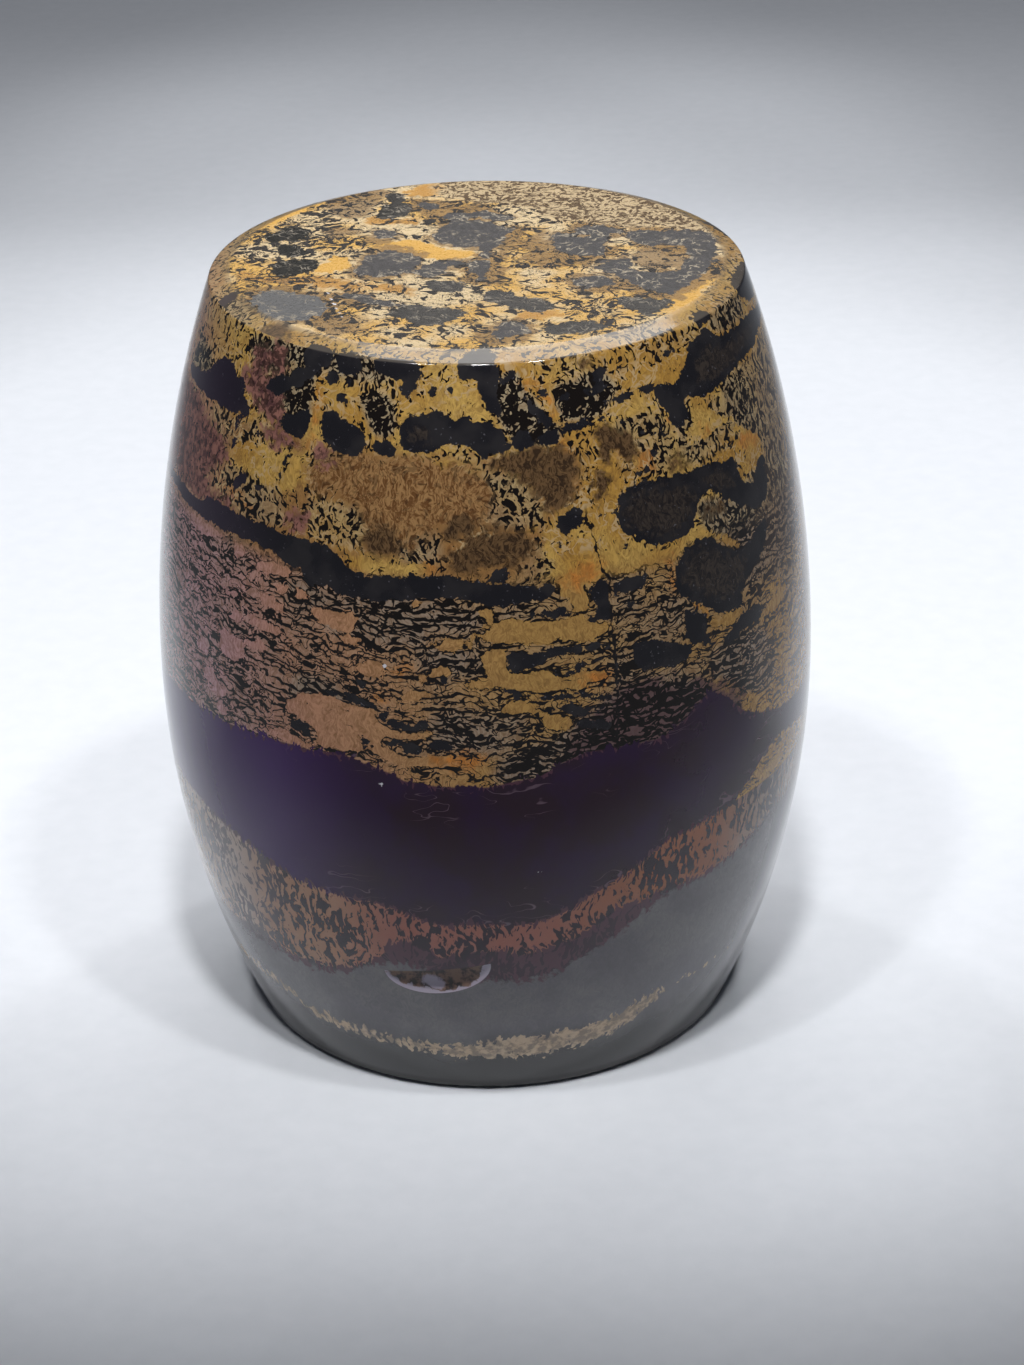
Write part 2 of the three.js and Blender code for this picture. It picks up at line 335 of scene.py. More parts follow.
    [(-21.7, 18), (-21.2, 17.95), (-20.9, 17.5), (-20.6, 17.1), (-20.1, 16.8), (-20.5, 16.82),
     (-21.2, 17.2), (-21.3, 17.6)],
    [(-21.2, 17.48), (-19.5, 17.55), (-17.9, 17.52), (-19, 17.42), (-20.8, 17.4)],
    [(-51, 26), (-49.8, 26.5), (-48.5, 26.72), (-46.8, 26.55), (-48, 26.2), (-49.3, 25.95), (-50.3, 25.85)],
    [(-45, 26.3), (-43.5, 26.4), (-41.6, 26.52), (-43, 26.2), (-44.5, 26.15)],
    [(-39.3, 27.35), (-37.8, 27.35), (-37.4, 27.85), (-36.8, 28.25), (-37.7, 28.15), (-38.7, 27.85)],
    [(-39.2, 27.3), (-38.8, 27.3), (-39.2, 26.9), (-40.6, 26.1), (-40.9, 26.15), (-39.9, 26.7)],
    [(-52.5, 28.6), (-51.3, 28.55), (-51.9, 28.1), (-51.3, 27.7), (-52.6, 27.3), (-53.2, 27.3),
     (-52.3, 27.8), (-53, 28.2)],
    [(-56.7, 28.3), (-55.4, 28.3), (-55.8, 28.1), (-56.6, 28.15)],
    [(-47.4, 28.6), (-46, 28.4), (-45.4, 28.2), (-46.6, 28.3)],
    # round the back, where the view doesn't reach
    [(96, 28.3), (100, 29.4), (108, 29.7), (117, 29.3), (121, 28.7), (116, 28.1), (106, 27.9)],
    [(128, 29.9), (133, 30.4), (141, 30.3), (147, 30), (151, 29.3), (147, 28.9), (138, 29), (131, 29.3)],
    [(157, 28.6), (160, 29.5), (167, 29.8), (174, 29.5), (180, 29.9), (187, 29.6), (190, 29),
     (184, 28.6), (172, 28.4), (163, 28.3)],
    [(197, 29.4), (200, 30), (206, 30.1), (211, 29.7), (209, 29.1), (202, 28.9)],
    [(218, 28.7), (222, 29.6), (230, 30.1), (240, 30.2), (251, 29.8), (262, 29.6), (270, 29.1),
     (266, 28.5), (254, 28.4), (240, 28.7), (228, 28.4)],
    [(102, 31.2), (104, 32), (112, 32.2), (119, 31.7), (117, 31.1), (109, 30.9)],
    [(152, 31.3), (155, 32), (166, 32.1), (172, 31.6), (168, 31.1), (158, 31)],
    [(212, 31.2), (216, 31.9), (226, 32), (233, 31.5), (228, 31), (218, 30.9)],
    [(112, 25.9), (114, 26.7), (121, 27.1), (128, 26.8), (131, 26), (126, 25.4), (117, 25.3)],
    [(168, 26.3), (171, 27), (178, 27.2), (184, 26.7), (182, 26), (174, 25.8)],
    [(222, 26.5), (226, 27.2), (235, 27.3), (241, 26.8), (238, 26.2), (228, 26)],
    [(99, 20.4), (104, 21.1), (114, 21.3), (126, 21), (135, 20.7), (128, 20.3), (115, 20.3), (105, 20)],
    [(152, 18.7), (158, 19.2), (170, 19.3), (180, 19), (184, 18.7), (172, 18.6), (160, 18.4)],
    [(196, 20.8), (203, 21.4), (216, 21.5), (228, 21.2), (234, 20.8), (222, 20.7), (208, 20.5)],
    [(240, 18.4), (247, 18.9), (258, 18.9), (266, 18.5), (256, 18.3), (246, 18.1)],
]

OXIDE_TOP = [
    [(-8.04, -0.2), (-7.6, 0.4), (-6.9, 0.6), (-6.3, 0.5), (-6.16, -0.1), (-6.3, -0.7), (-6.8, -1.2),
     (-7.3, -1.54), (-7.8, -1.4), (-8, -0.9)],
    [(-4, 6.2), (-3.6, 7), (-3.8, 7.8), (-3.2, 8.3), (-2.9, 7.6), (-2.7, 6.8), (-2.5, 6), (-2.7, 5.3),
     (-3.4, 5.1), (-3.9, 5.4)],
    [(-8, 2.2), (-7.2, 2.3), (-6.8, 1.6), (-6.6, 1), (-7.3, 0.7), (-7.8, 1.1)],
    [(-8.4, 3), (-8.2, 3.7), (-7.6, 4.4), (-6.9, 4.2), (-6.6, 3), (-6.8, 2.6), (-7.6, 2.7), (-8.2, 2.6)],
    [(2.3, -7.8), (2.6, -7.2), (3.4, -7.1), (4.2, -7), (5, -7.4), (5.1, -7.8), (4.2, -8.1), (3.2, -8.4),
     (2.5, -8.4)],
    [(0.36, -3.8), (0.9, -3.6), (1.4, -4.1), (2.2, -4.6), (3, -5.2), (2.9, -5.7), (2.2, -6), (1.2, -5.4),
     (0.6, -5.2), (0.36, -4.6)],
    [(-2, -2.4), (-1.2, -2.2), (-0.5, -2.7), (-0.2, -3.2), (-1, -3.7), (-1.7, -3.6), (-2.1, -3.2)],
    [(-3.2, -5.4), (-2.6, -5), (-1.6, -5.2), (-0.6, -5.4), (-0.5, -6), (-0.8, -6.8), (-1.6, -7.1),
     (-2.6, -7), (-2.9, -6.4), (-3.5, -6)],
    [(5.4, -4.6), (6.4, -4.8), (7.2, -5), (7.3, -5.6), (7, -6.4), (6.4, -6.6), (5.8, -6.2), (5.4, -5.4)],
    [(8.3, -6), (8.9, -6.3), (8.7, -7.2), (8.2, -7.8), (7.9, -7)],
    [(-9.9, -3), (-9.2, -2.9), (-8.7, -3.1), (-9.3, -3.7), (-9.9, -3.9)],
]

GREY_TOP = [
    [(-8.5, -4.4), (-8.44, -3.4), (-8, -2.84), (-7.6, -3.1), (-7.1, -3.4), (-6.5, -3.4), (-5.8, -4),
     (-5.7, -4.8), (-5.9, -5.6), (-6.8, -6.3), (-7.6, -6.1), (-8.3, -5.6)],
    [(-1.7, 3.7), (-1, 4.5), (-0.2, 4.64), (0.8, 4.4), (1.2, 3.7), (1.5, 3.3), (1.2, 2.4), (0.9, 1.8),
     (0.7, 0.6), (0.4, 0), (0.2, 0.6), (0, 1.4), (-0.6, 1.5), (-1.2, 1.8), (-1.7, 2.6)],
    [(-1.5, 5.2), (-1, 5.9), (-0.4, 5.6), (0.3, 6), (0.8, 5.4), (1.4, 5), (1.2, 4.6), (0.6, 4.7),
     (0.3, 5.1), (-0.2, 5.3), (-0.6, 4.8), (-1.1, 4.7)],
    [(3, 2.6), (3.4, 2.7), (4.2, 2.2), (5, 2.6), (5.2, 2), (5.1, 1), (5, 0.2), (4.4, 0.1), (3.4, 0.4),
     (3, 1.2), (2.96, 2)],
    [(4, 3.7), (5.2, 3.6), (6, 2.9), (5.4, 2.6), (4.8, 2.7), (4.1, 2.6)],
    [(6, 2.6), (6.4, 3.1), (8, 3), (9.1, 2.6), (9.5, 2), (9.6, 0.6), (9.5, -0.6), (8.9, -2), (8.4, -2.6),
     (8, -3.4), (7.9, -4), (7.4, -4.4), (7, -4.2), (6.4, -3.8), (5.8, -3), (5.4, -2.6), (5.2, -2.2),
     (6, -1.8), (7, -1.9), (7.9, -1.8), (8.1, -1), (8.4, -0.3), (8.3, 0.6), (7.8, 1.2), (7.2, 1.3),
     (6.8, 1), (6.4, 1.6), (6, 2)],
    [(4.5, -1.4), (4.8, -0.6), (5.4, -0.3), (6, -0.2), (6.1, -1.2), (5.8, -1.8), (4.8, -1.9)],
    [(-2, -0.2), (-0.6, 0.1), (-0.4, -0.6), (-1.2, -1), (-1.5, -1.8), (-2, -1.9), (-2.5, -1.4)],
    [(-0.2, -0.2), (0.3, -0.1), (0.64, -0.8), (0.6, -1.8), (0.3, -2.4), (-0.1, -2.2), (-0.3, -1.4),
     (-0.2, -0.7)],
    [(-4.6, -0.6), (-4.4, 0.4), (-3.8, 1.2), (-3.1, 1.3), (-2.5, 0.6), (-2.1, 0.2), (-2.2, -0.6),
     (-2.6, -1.2), (-3.4, -1.6), (-4.2, -1.8), (-4.6, -1.4)],
    [(-4.1, 3.4), (-3.7, 4), (-3.2, 3.6), (-3.1, 2.9), (-3.6, 2.7), (-4, 2.8)],
    [(-2.1, 7.3), (-1.6, 6.9), (-1.4, 6.3), (-1.8, 6), (-2.4, 6.6)],
    [(0.3, -8), (0.6, -7.4), (1.4, -7), (1.9, -7.6), (1.8, -8.2), (1.2, -8.6), (0.6, -8.5)],
    [(4, -2.2), (5.2, -2.3), (5.4, -3), (4.8, -3.6), (4.1, -3.4), (3.8, -2.8)],
    [(-5.2, -3.4), (-4.6, -3.6), (-3.8, -4.1), (-3, -4.8), (-3.3, -5), (-4.2, -4.5), (-5, -4.1)],
]

# Clear ground with hardly a speck in it
CLEAR_SIDE = [
    [(-53, 26.9), (-50, 27.6), (-46, 27.9), (-42, 27.8), (-39.5, 27.6), (-39.3, 27.1), (-40.5, 26.5),
     (-44, 26.6), (-47, 26.9), (-49, 26.8)],
    [(-38.5, 27.2), (-36, 27.9), (-33.5, 27.5), (-32.5, 27.1), (-34, 26.7), (-37, 26.7)],
    [(-33.6, 30.8), (-31.6, 30.5), (-32.2, 29.5), (-32.6, 28.7), (-33, 28.3), (-33.9, 28.3), (-33.5, 29),
     (-33.2, 29.8)],
    [(-31.5, 30.55), (-29, 30.6), (-24.5, 30.55), (-24.5, 29.9), (-21.3, 29.1), (-20.6, 28.4),
     (-21, 28.4), (-21.2, 29), (-23, 29.4), (-26, 29.65), (-29.5, 29.95), (-31.5, 29.9)],
    [(-13.6, 30.2), (-12, 30.95), (-8, 31.2), (-4.5, 31.1), (-1.2, 31.1), (-0.4, 30.9), (0.5, 30.2),
     (1, 29.85), (-1.5, 29.95), (-5.5, 30.1), (-8.6, 30.35), (-12, 30.1)],
    [(3.9, 32.2), (4, 31.5), (7.6, 31.5), (8.6, 30.9), (10.5, 30.5), (10.2, 31.2), (9, 31.9)],
    [(13.4, 30.2), (14.6, 29.9), (15, 29.6), (14, 29.5), (12.8, 30)],
    [(25, 29.85), (30, 29.9), (35, 29.9), (33.8, 29.4), (30, 29.3), (26.5, 29.35), (24.8, 29.5)],
    [(37, 30.8), (40, 30.9), (44, 30.95), (46, 31), (44.8, 30.5), (42, 30.1), (39.5, 30), (37, 30.25),
     (33, 30.3), (31, 30.45), (34, 30.7)],
    [(-24.5, 24.4), (-22.5, 24.85), (-19.5, 24.65), (-17, 24.5), (-13.5, 24.5), (-9, 24.7), (-8.5, 24.3),
     (-12, 24.2), (-17, 24.1), (-22, 24.1)],
    [(10.5, 25.4), (13, 25.35), (15, 25.4), (17, 25.3), (18.6, 25.4), (19.4, 24.8), (19.8, 24.2),
     (20.6, 24), (21, 23.8), (19.6, 23.6), (18, 23.55), (17.5, 23.8), (17, 23.2), (17.8, 22.7), (17, 22.5),
     (15.6, 22.6), (14.2, 23.1), (12.2, 23.2), (12.6, 23.8), (11, 24), (12.5, 24.3), (13, 24.6),
     (11.5, 24.7), (10.3, 25)],
    [(18.5, 26.2), (22, 26.5), (23.5, 27.2), (24.5, 27.7), (25.5, 27.4), (27.5, 27.1), (24.5, 26.9),
     (23.8, 26.2), (24, 25.4), (25.5, 24.9), (28.5, 24.4), (33, 24.25), (34.5, 23.8), (30, 23.8),
     (26, 23.7), (22, 23.6), (21.2, 24), (20.3, 24.4), (19.9, 25.2), (18.8, 25.8)],
    [(33.5, 24.25), (38, 24.35), (41, 24.45), (44, 24.1), (47, 23.8), (50, 23.3), (52, 23), (48.5, 23.2),
     (46, 23.6), (43.5, 24.1), (40, 24.25), (36, 24), (34.2, 23.5)],
    [(1.5, 22.4), (4, 22.6), (6, 22.4), (10, 22.4), (13, 22.3), (16, 22.5), (17.5, 22.1), (20.5, 22),
     (21, 21.7), (18.5, 21.35), (14, 21.45), (10, 21.5), (5, 21.6), (3, 21.6), (-1, 21.8), (-3, 21.9),
     (0, 22.1)],
    [(-1.5, 21.2), (1, 21.5), (3.2, 21.4), (3.1, 20.6), (4.5, 20.4), (8, 20.5), (10.5, 20.5), (11, 20.2),
     (14, 20.1), (17, 20.2), (20, 20.2), (20.5, 19.8), (16, 19.6), (12, 19.6), (8.5, 19.55), (6.5, 19.7),
     (3.5, 19.9), (1, 19.9), (-2, 19.8), (-3.7, 20), (-2, 20.3), (0, 20.4), (-0.6, 20.9)],
    [(1.5, 19), (3.5, 19.4), (6.5, 19.3), (8, 19.1), (9.5, 18.7), (12, 18.7), (13.8, 18.3), (14, 18),
     (11.5, 17.9), (10, 18.1), (8.5, 18.2), (8.8, 18.5), (7, 18.8), (4, 18.7)],
    [(-35.5, 18.2), (-33.5, 18.8), (-29, 19.05), (-25, 19), (-22, 18.85), (-18.3, 18.85), (-18.4, 18.5),
     (-17.5, 18.2), (-13, 18), (-8.5, 18.1), (-9, 17.9), (-11, 17.65), (-14, 17.7), (-17, 17.7),
     (-18, 17.3), (-20.3, 17.2), (-20.6, 16.9), (-25, 16.85), (-29.5, 16.85), (-29, 17.3), (-30.3, 17.6),
     (-32, 17.85), (-35, 17.9)],
    [(-39, 17.1), (-36, 17.2), (-33, 17), (-30, 16.8), (-31, 16.6), (-36, 16.65), (-39, 16.7)],
    [(-20, 17.2), (-18, 17.35), (-16, 17.2), (-14, 17), (-11, 17), (-6, 17.3), (-5, 17.1), (-8, 16.6),
     (-12, 16.6), (-15, 16.6), (-18, 16.8)],
    [(-31, 22.4), (-28, 22.5), (-24, 22.5), (-21.5, 22.4), (-21.9, 22), (-23, 21.75), (-27, 21.85),
     (-29.5, 22)],
    [(-25.5, 21.5), (-23, 21.7), (-20.5, 21.5), (-20.8, 21.25), (-24, 21.2)],
    [(-22, 20.5), (-19, 20.8), (-16.5, 20.6), (-16.5, 20.3), (-19, 20.1), (-21.5, 20.15)],
    [(-42, 22.4), (-38, 22.45), (-35, 22.1), (-37, 21.9), (-41, 22)],
    [(-44, 21.3), (-39, 21.4), (-35, 21.1), (-38, 20.95), (-43, 21)],
    [(-44.5, 20.4), (-40, 20.5), (-39, 20.2), (-42, 20), (-45, 20.1)],
    [(-52, 20.2), (-48, 20.3), (-45, 20.2), (-44, 19.6), (-46, 19.3), (-49, 19.1), (-51.5, 19.4),
     (-51, 19.9)],
    [(-51, 22), (-47, 22.1), (-45, 21.8), (-50, 21.7)],
    [(-49.5, 21), (-46, 21.3), (-44.5, 21), (-48, 20.8)],
    [(-58.5, 19.2), (-56, 19.4), (-54, 19.1), (-56, 18.8), (-58.5, 18.9)],
    [(-56.5, 18.2), (-53, 18.5), (-52, 18), (-49, 17.8), (-50, 17.3), (-54, 17.4), (-56.5, 18)],
    [(-52, 17.2), (-48, 17.2), (-49, 16.8), (-52, 16.6)],
    [(-66, 24.1), (-60, 24.15), (-52, 24.1), (-53, 23.8), (-58, 23.4), (-62, 23.6)],
    [(-49, 24), (-45, 23.9), (-46, 23.3), (-48.5, 23.4)],
    [(-42.5, 23.6), (-38, 23.8), (-34.5, 23.5), (-36, 23.3), (-40, 23.2), (-42.8, 23.2)],
    [(-38, 22.9), (-35.5, 23), (-35.5, 22.65), (-37.5, 22.6)],
    [(-34, 23), (-31.5, 23), (-31, 22.6), (-33.5, 22.6)],
    [(-12.5, 23.2), (-10.4, 23.3), (-10.4, 23), (-12, 22.98)],
    [(-1, 22.9), (0.5, 23.2), (1.8, 22.7), (1.4, 22.25), (0, 22.4)],
    [(-10, 21.6), (-6, 21.8), (-2, 21.75), (-3, 21.4), (-8, 21.25)],
    [(-9.5, 20.5), (-7, 20.9), (-5.5, 20.6), (-6, 20.35), (-8, 20.35), (-11, 20), (-11.5, 20.3)],
    [(-14, 19.5), (-10, 19.8), (-9, 19.5), (-12, 19.3), (-15, 19.2)],
    [(45, 21), (47, 20.75), (49.5, 20.7), (47.5, 20.35), (45, 20.2), (44, 20.4), (41, 21), (39.5, 21.6),
     (37.5, 21.95), (36.8, 21.8), (38.5, 21.4), (40.2, 21), (42, 20.4)],
    [(55.5, 21), (60, 20.9), (63, 20.6), (59, 20.55), (57, 20.7)],
    [(57, 20.3), (62, 20.5), (66, 20.4), (62, 20), (60, 19.6), (57, 19.7)],
    [(54.5, 27.6), (57, 27.3), (60, 26.9), (63.5, 26.3), (61, 26.1), (58, 26.2), (56.5, 26.6), (54.3, 27.2)],
    [(43.5, 29.2), (46, 29.2), (48, 28.7), (50, 28.3), (53, 27.95), (55, 27.8), (54, 27.9), (50, 27.95),
     (47, 27.6), (43, 27.7), (41, 27.7), (41, 28.3), (44, 28.1), (43.5, 28.7)],
    [(-24.5, 9.9), (-20.5, 10.2), (-20, 9.4), (-21.3, 9.2), (-22.3, 9.7)],
    [(105, 22.5), (118, 23), (128, 22.6), (120, 22), (108, 22)],
    [(140, 20.6), (152, 21.2), (163, 20.8), (155, 20.1), (143, 20)],
    [(178, 22), (190, 22.5), (198, 22.1), (190, 21.6), (180, 21.5)],
    [(208, 18.6), (220, 19.3), (232, 19.1), (226, 18.2), (214, 18)],
    [(244, 21.4), (256, 22.2), (266, 21.9), (260, 21.1), (248, 20.8)],
    [(136, 27.6), (146, 28.2), (156, 27.8), (150, 26.7), (140, 26.6)],
    [(196, 27.4), (204, 28.2), (214, 27.9), (212, 26.8), (202, 26.6)],
]

CLEAR_TOP = [
    [(-4.2, 1.8), (-3.7, 2.2), (-2.6, 2.6), (-1.8, 2), (-1, 1.2), (0, 1), (0, 0.4), (-0.6, 0.1),
     (-1.8, 0), (-2.3, 0.4), (-3, 1.2), (-3.8, 1.4)],
    [(-2.9, 8.2), (-2.4, 9.3), (-1.2, 9.3), (-1.1, 8.3), (-1.6, 7.9), (-2.3, 7.8)],
    [(-6.2, -0.3), (-5.6, 0.6), (-5, 0.4), (-4.9, -0.6), (-5.6, -1.2), (-6.3, -1)],
    [(1.4, -6), (2.6, -5.6), (3.4, -6.2), (2.6, -6.8), (1.6, -6.7)],
    [(7.3, -4.6), (8.3, -3.2), (9, -2.9), (8.6, -4.2), (7.9, -6.2), (7.6, -7.6), (6.8, -7.4), (7.3, -6)],
    [(-9.2, 4.2), (-8.6, 5.6), (-7.6, 6.6), (-6.6, 7.4), (-7, 6.2), (-8, 5), (-8.4, 4.4)],
]

# Brown ground of fine matted dendrites
BROWN_SIDE = [
    [(1, 28.4), (5, 28.65), (10, 28.75), (15, 28.7), (17.5, 28.3), (18, 27.6), (17, 26.9), (14, 26.5),
     (11.5, 26.4), (9.5, 27), (8, 27.5), (5, 27.8), (2, 28)],
    [(-1.5, 25.9), (2, 26), (5, 25.9), (8, 25.6), (9.5, 25.2), (7.5, 24.8), (5, 24.5), (2, 24.6),
     (-0.5, 24.4), (-2.5, 24.3), (-5, 24.5), (-6.5, 24.9), (-4.5, 25.2), (-3, 25.6)],
    [(-21, 25.7), (-18, 26.1), (-15, 25.6), (-14.8, 25), (-16.5, 24.8), (-20, 24.8), (-21.8, 25.2)],
    [(-5.5, 26.3), (-2.5, 26.5), (-1.5, 25.9), (-4, 25.4), (-7, 25.5)],
    [(20, 27.45), (21.5, 27.5), (23.5, 27.45), (23.2, 27), (22, 26.6), (20.5, 26.5), (19.8, 26.7),
     (20.3, 27.1)],
    [(22, 29.2), (24, 29.3), (25.5, 28.9), (28.5, 28.8), (29.8, 28.5), (29.6, 27.8), (27.5, 27.6),
     (25, 28.3), (24.3, 27.9), (23, 27.8), (22, 28.2)],
    [(36.5, 27.6), (40, 27.4), (41, 27), (38, 26.9), (36, 27.1)],
    [(19.5, 31.5), (22.5, 31.5), (23.5, 31.3), (21, 31.25)],
    [(42, 25.4), (46, 25.3), (47.5, 24.8), (45, 24.7), (42.5, 24.7), (41, 25)],
    [(103, 24.9), (110, 25.3), (116, 25), (112, 24.5), (105, 24.4)],
    [(138, 25.7), (150, 26.4), (162, 26), (160, 25.1), (147, 24.9)],
    [(186, 25.5), (197, 26.3), (212, 26), (210, 25), (196, 24.8)],
    [(243, 27.6), (252, 28.2), (268, 28.2), (270, 26), (262, 25.4), (250, 26)],
]
BROWN_TOP = [
    [(6.2, 1.2), (7.2, 1.6), (8.2, 0.8), (8.4, -0.2), (8, -1.4), (7, -1.8), (6.2, -1.2), (6, 0)],
    [(-5.8, 4), (-4.8, 4.2), (-4.7, 3.2), (-5.4, 2.9), (-5.8, 3.2)],
    [(-6, 6.2), (-5.6, 8), (-4.2, 8.9), (-3.6, 8.4), (-4, 6.8), (-4.4, 5.4), (-5.4, 5)],
    [(1.2, -0.4), (2, 0.8), (1.8, 2.2), (2.6, 3.4), (3, 2.4), (2.8, 1), (3.6, -0.2), (4.6, -0.6),
     (3.4, -1.2), (2, -0.8)],
    [(-6.4, -5.6), (-5, -5.6), (-4.4, -6.4), (-4.2, -7.8), (-5.6, -7.8), (-6.6, -6.8)],
    [(-8.6, -7), (-7.6, -6.2), (-6.8, -6.6), (-7.2, -7.8)],
]

# Smooth maroon ground on the left
MAROON_SIDE = [
    [(-95, 28.3), (-80, 28.4), (-70, 28.4), (-66.5, 28.3), (-65.5, 27.9), (-62, 27.8), (-58, 27.6),
     (-55, 27.5), (-53, 26.9), (-55.5, 26.4), (-58, 26.1), (-60, 25.8), (-58, 25.4), (-54, 25.4),
     (-50, 25.5), (-50, 25.1), (-55, 25), (-60, 24.7), (-70, 24.7), (-80, 24.8), (-95, 25.2), (-100, 26.6)],
    [(-56, 30.1), (-52, 30.35), (-50, 30.6), (-52.5, 30.9), (-50, 31.3), (-46, 31.5), (-42.5, 31.6),
     (-41.5, 31.2), (-41, 30.8), (-44, 30.6), (-46.5, 30.5), (-47.5, 30.1), (-46.5, 29.8), (-48, 29.4),
     (-51.5, 29.5), (-51.5, 29.9)],
    [(-44.5, 28.8), (-41, 28.7), (-38, 28.5), (-37, 28.2), (-40, 28), (-43.5, 28.1), (-45, 28.5)],
    [(-37, 25.6), (-34, 25.9), (-31.5, 25.9), (-32.5, 25.4), (-34.5, 25.15), (-36, 25.2)],
    [(-31, 28.5), (-28.5, 28.4), (-28, 27.9), (-31, 27.8), (-32, 28.2)],
    [(-50, 30.2), (-44, 30.4), (-40, 30), (-41, 29.4), (-38, 28.9), (-40, 28.5), (-44, 28.9), (-48, 29.2)],
]

# Dusky violet ground at the lower right of the net
DUSKY_SIDE = [
    [(13, 17), (16, 18.4), (21, 19.2), (27, 19.2), (34, 18.9), (40, 18.5), (48, 17.6), (44, 16.2), (34, 15.6),
     (22, 15.9), (13, 16.2)]]

# Tan ground matted with brown fibres
MATTED_SIDE = [
    [(-33, 27.4), (-31, 28), (-26, 28.3), (-18, 28.4), (-9, 28.3), (-3, 28.2), (1, 27.8), (2, 27), (0, 26.2),
     (-4, 26.2), (-8, 25.8), (-12, 25.4), (-17, 25.2), (-20, 25.6), (-22, 26.4), (-26, 26.9), (-31, 26.9)],
    [(-40, 28.9), (-36, 28.7), (-34, 28.1), (-38, 27.9), (-42, 28.4)],
    [(150, 28.2), (165, 28.6), (176, 27.9), (168, 27), (154, 27.2)],
    [(214, 28), (228, 28.3), (232, 27.2), (220, 26.8)],
]

# Orange, iron-rich ground
ORANGE_SIDE = [
    [(-33.6, 30.6), (-31.8, 30.5), (-32.2, 29.5), (-32.6, 28.7), (-33, 28.3), (-33.9, 28.3), (-33.5, 29),
     (-33.2, 29.8)],
    [(-10.3, 24.7), (-8.2, 24.8), (-8, 24.3), (-10, 24.2)],
    [(-5.8, 25.4), (-4.6, 25.4), (-4.8, 25.2), (-5.8, 25.2)],
    [(16.5, 24.3), (19.5, 24.6), (20, 24), (18.5, 23.7), (16, 23.4), (13, 23.6), (14, 24)],
    [(8.2, 31.2), (11, 31), (13.5, 30.4), (14.6, 29.9), (13, 29.9), (11.5, 30.5), (8.8, 30.9)],
    [(14.5, 29), (16.4, 28.9), (16.6, 28.4), (15.4, 28.3)],
    [(24.5, 28.8), (28.5, 28.6), (28.5, 27.9), (25.5, 27.9)],
    [(29, 27.9), (33, 28), (34, 27.4), (32, 27), (29.5, 27.3)],
    [(-6, 17.4), (-2, 17.3), (0, 16.8), (-4, 16.4), (-9, 16.6), (-10, 17.1)],
    [(-16, 20.6), (-13, 20.8), (-12.4, 20.5), (-14.5, 20.3)],
    [(-19.5, 19.4), (-17.5, 19.4), (-17, 19.1), (-19, 19.1)],
    [(16, 20.2), (21, 20.3), (21, 19.6), (16, 19.5)],
    [(-54, 25.8), (-49, 26), (-46, 25.6), (-44, 25.2), (-49, 25.4)],
    [(55, 27.4), (58, 27.1), (62, 26.6), (58.5, 26.4), (55.5, 26.8)],
    [(33, 23.9), (34.3, 23.7), (34.1, 22.5), (33, 22.6)],
    [(36.5, 21.9), (39, 21.6), (40.5, 21.2), (38, 21.6)],
    [(44, 28.1), (47, 28.1), (48, 27.7), (45, 27.6)],
    [(36.5, 29.4), (37.7, 29), (38, 28.5), (37, 28.7)],
    [(148, 22.6), (158, 22.9), (160, 22.4), (150, 22.1)],
    [(214, 24.6), (222, 25), (226, 24.5), (218, 24.2)],
]
ORANGE_TOP = [
    [(-9.2, -0.6), (-8.4, -1.4), (-7, -1.5), (-6, -1.1), (-5, -1.9), (-3.6, -2.7), (-2.4, -3.1),
     (-2.4, -3.8), (-4, -3.5), (-5.6, -3), (-7, -2.3), (-8.6, -2)],
    [(-2.9, 8.2), (-2.4, 9.4), (-1.2, 9.4), (-1.1, 8.3), (-1.6, 7.9), (-2.3, 7.8)],
    [(-4.4, 5.3), (-3, 5.2), (-2.2, 4.6), (-3, 4.3), (-4.4, 4.6)],
    [(1.4, -6), (2.6, -5.6), (3.4, -6.2), (2.6, -6.8), (1.6, -6.7)],
]

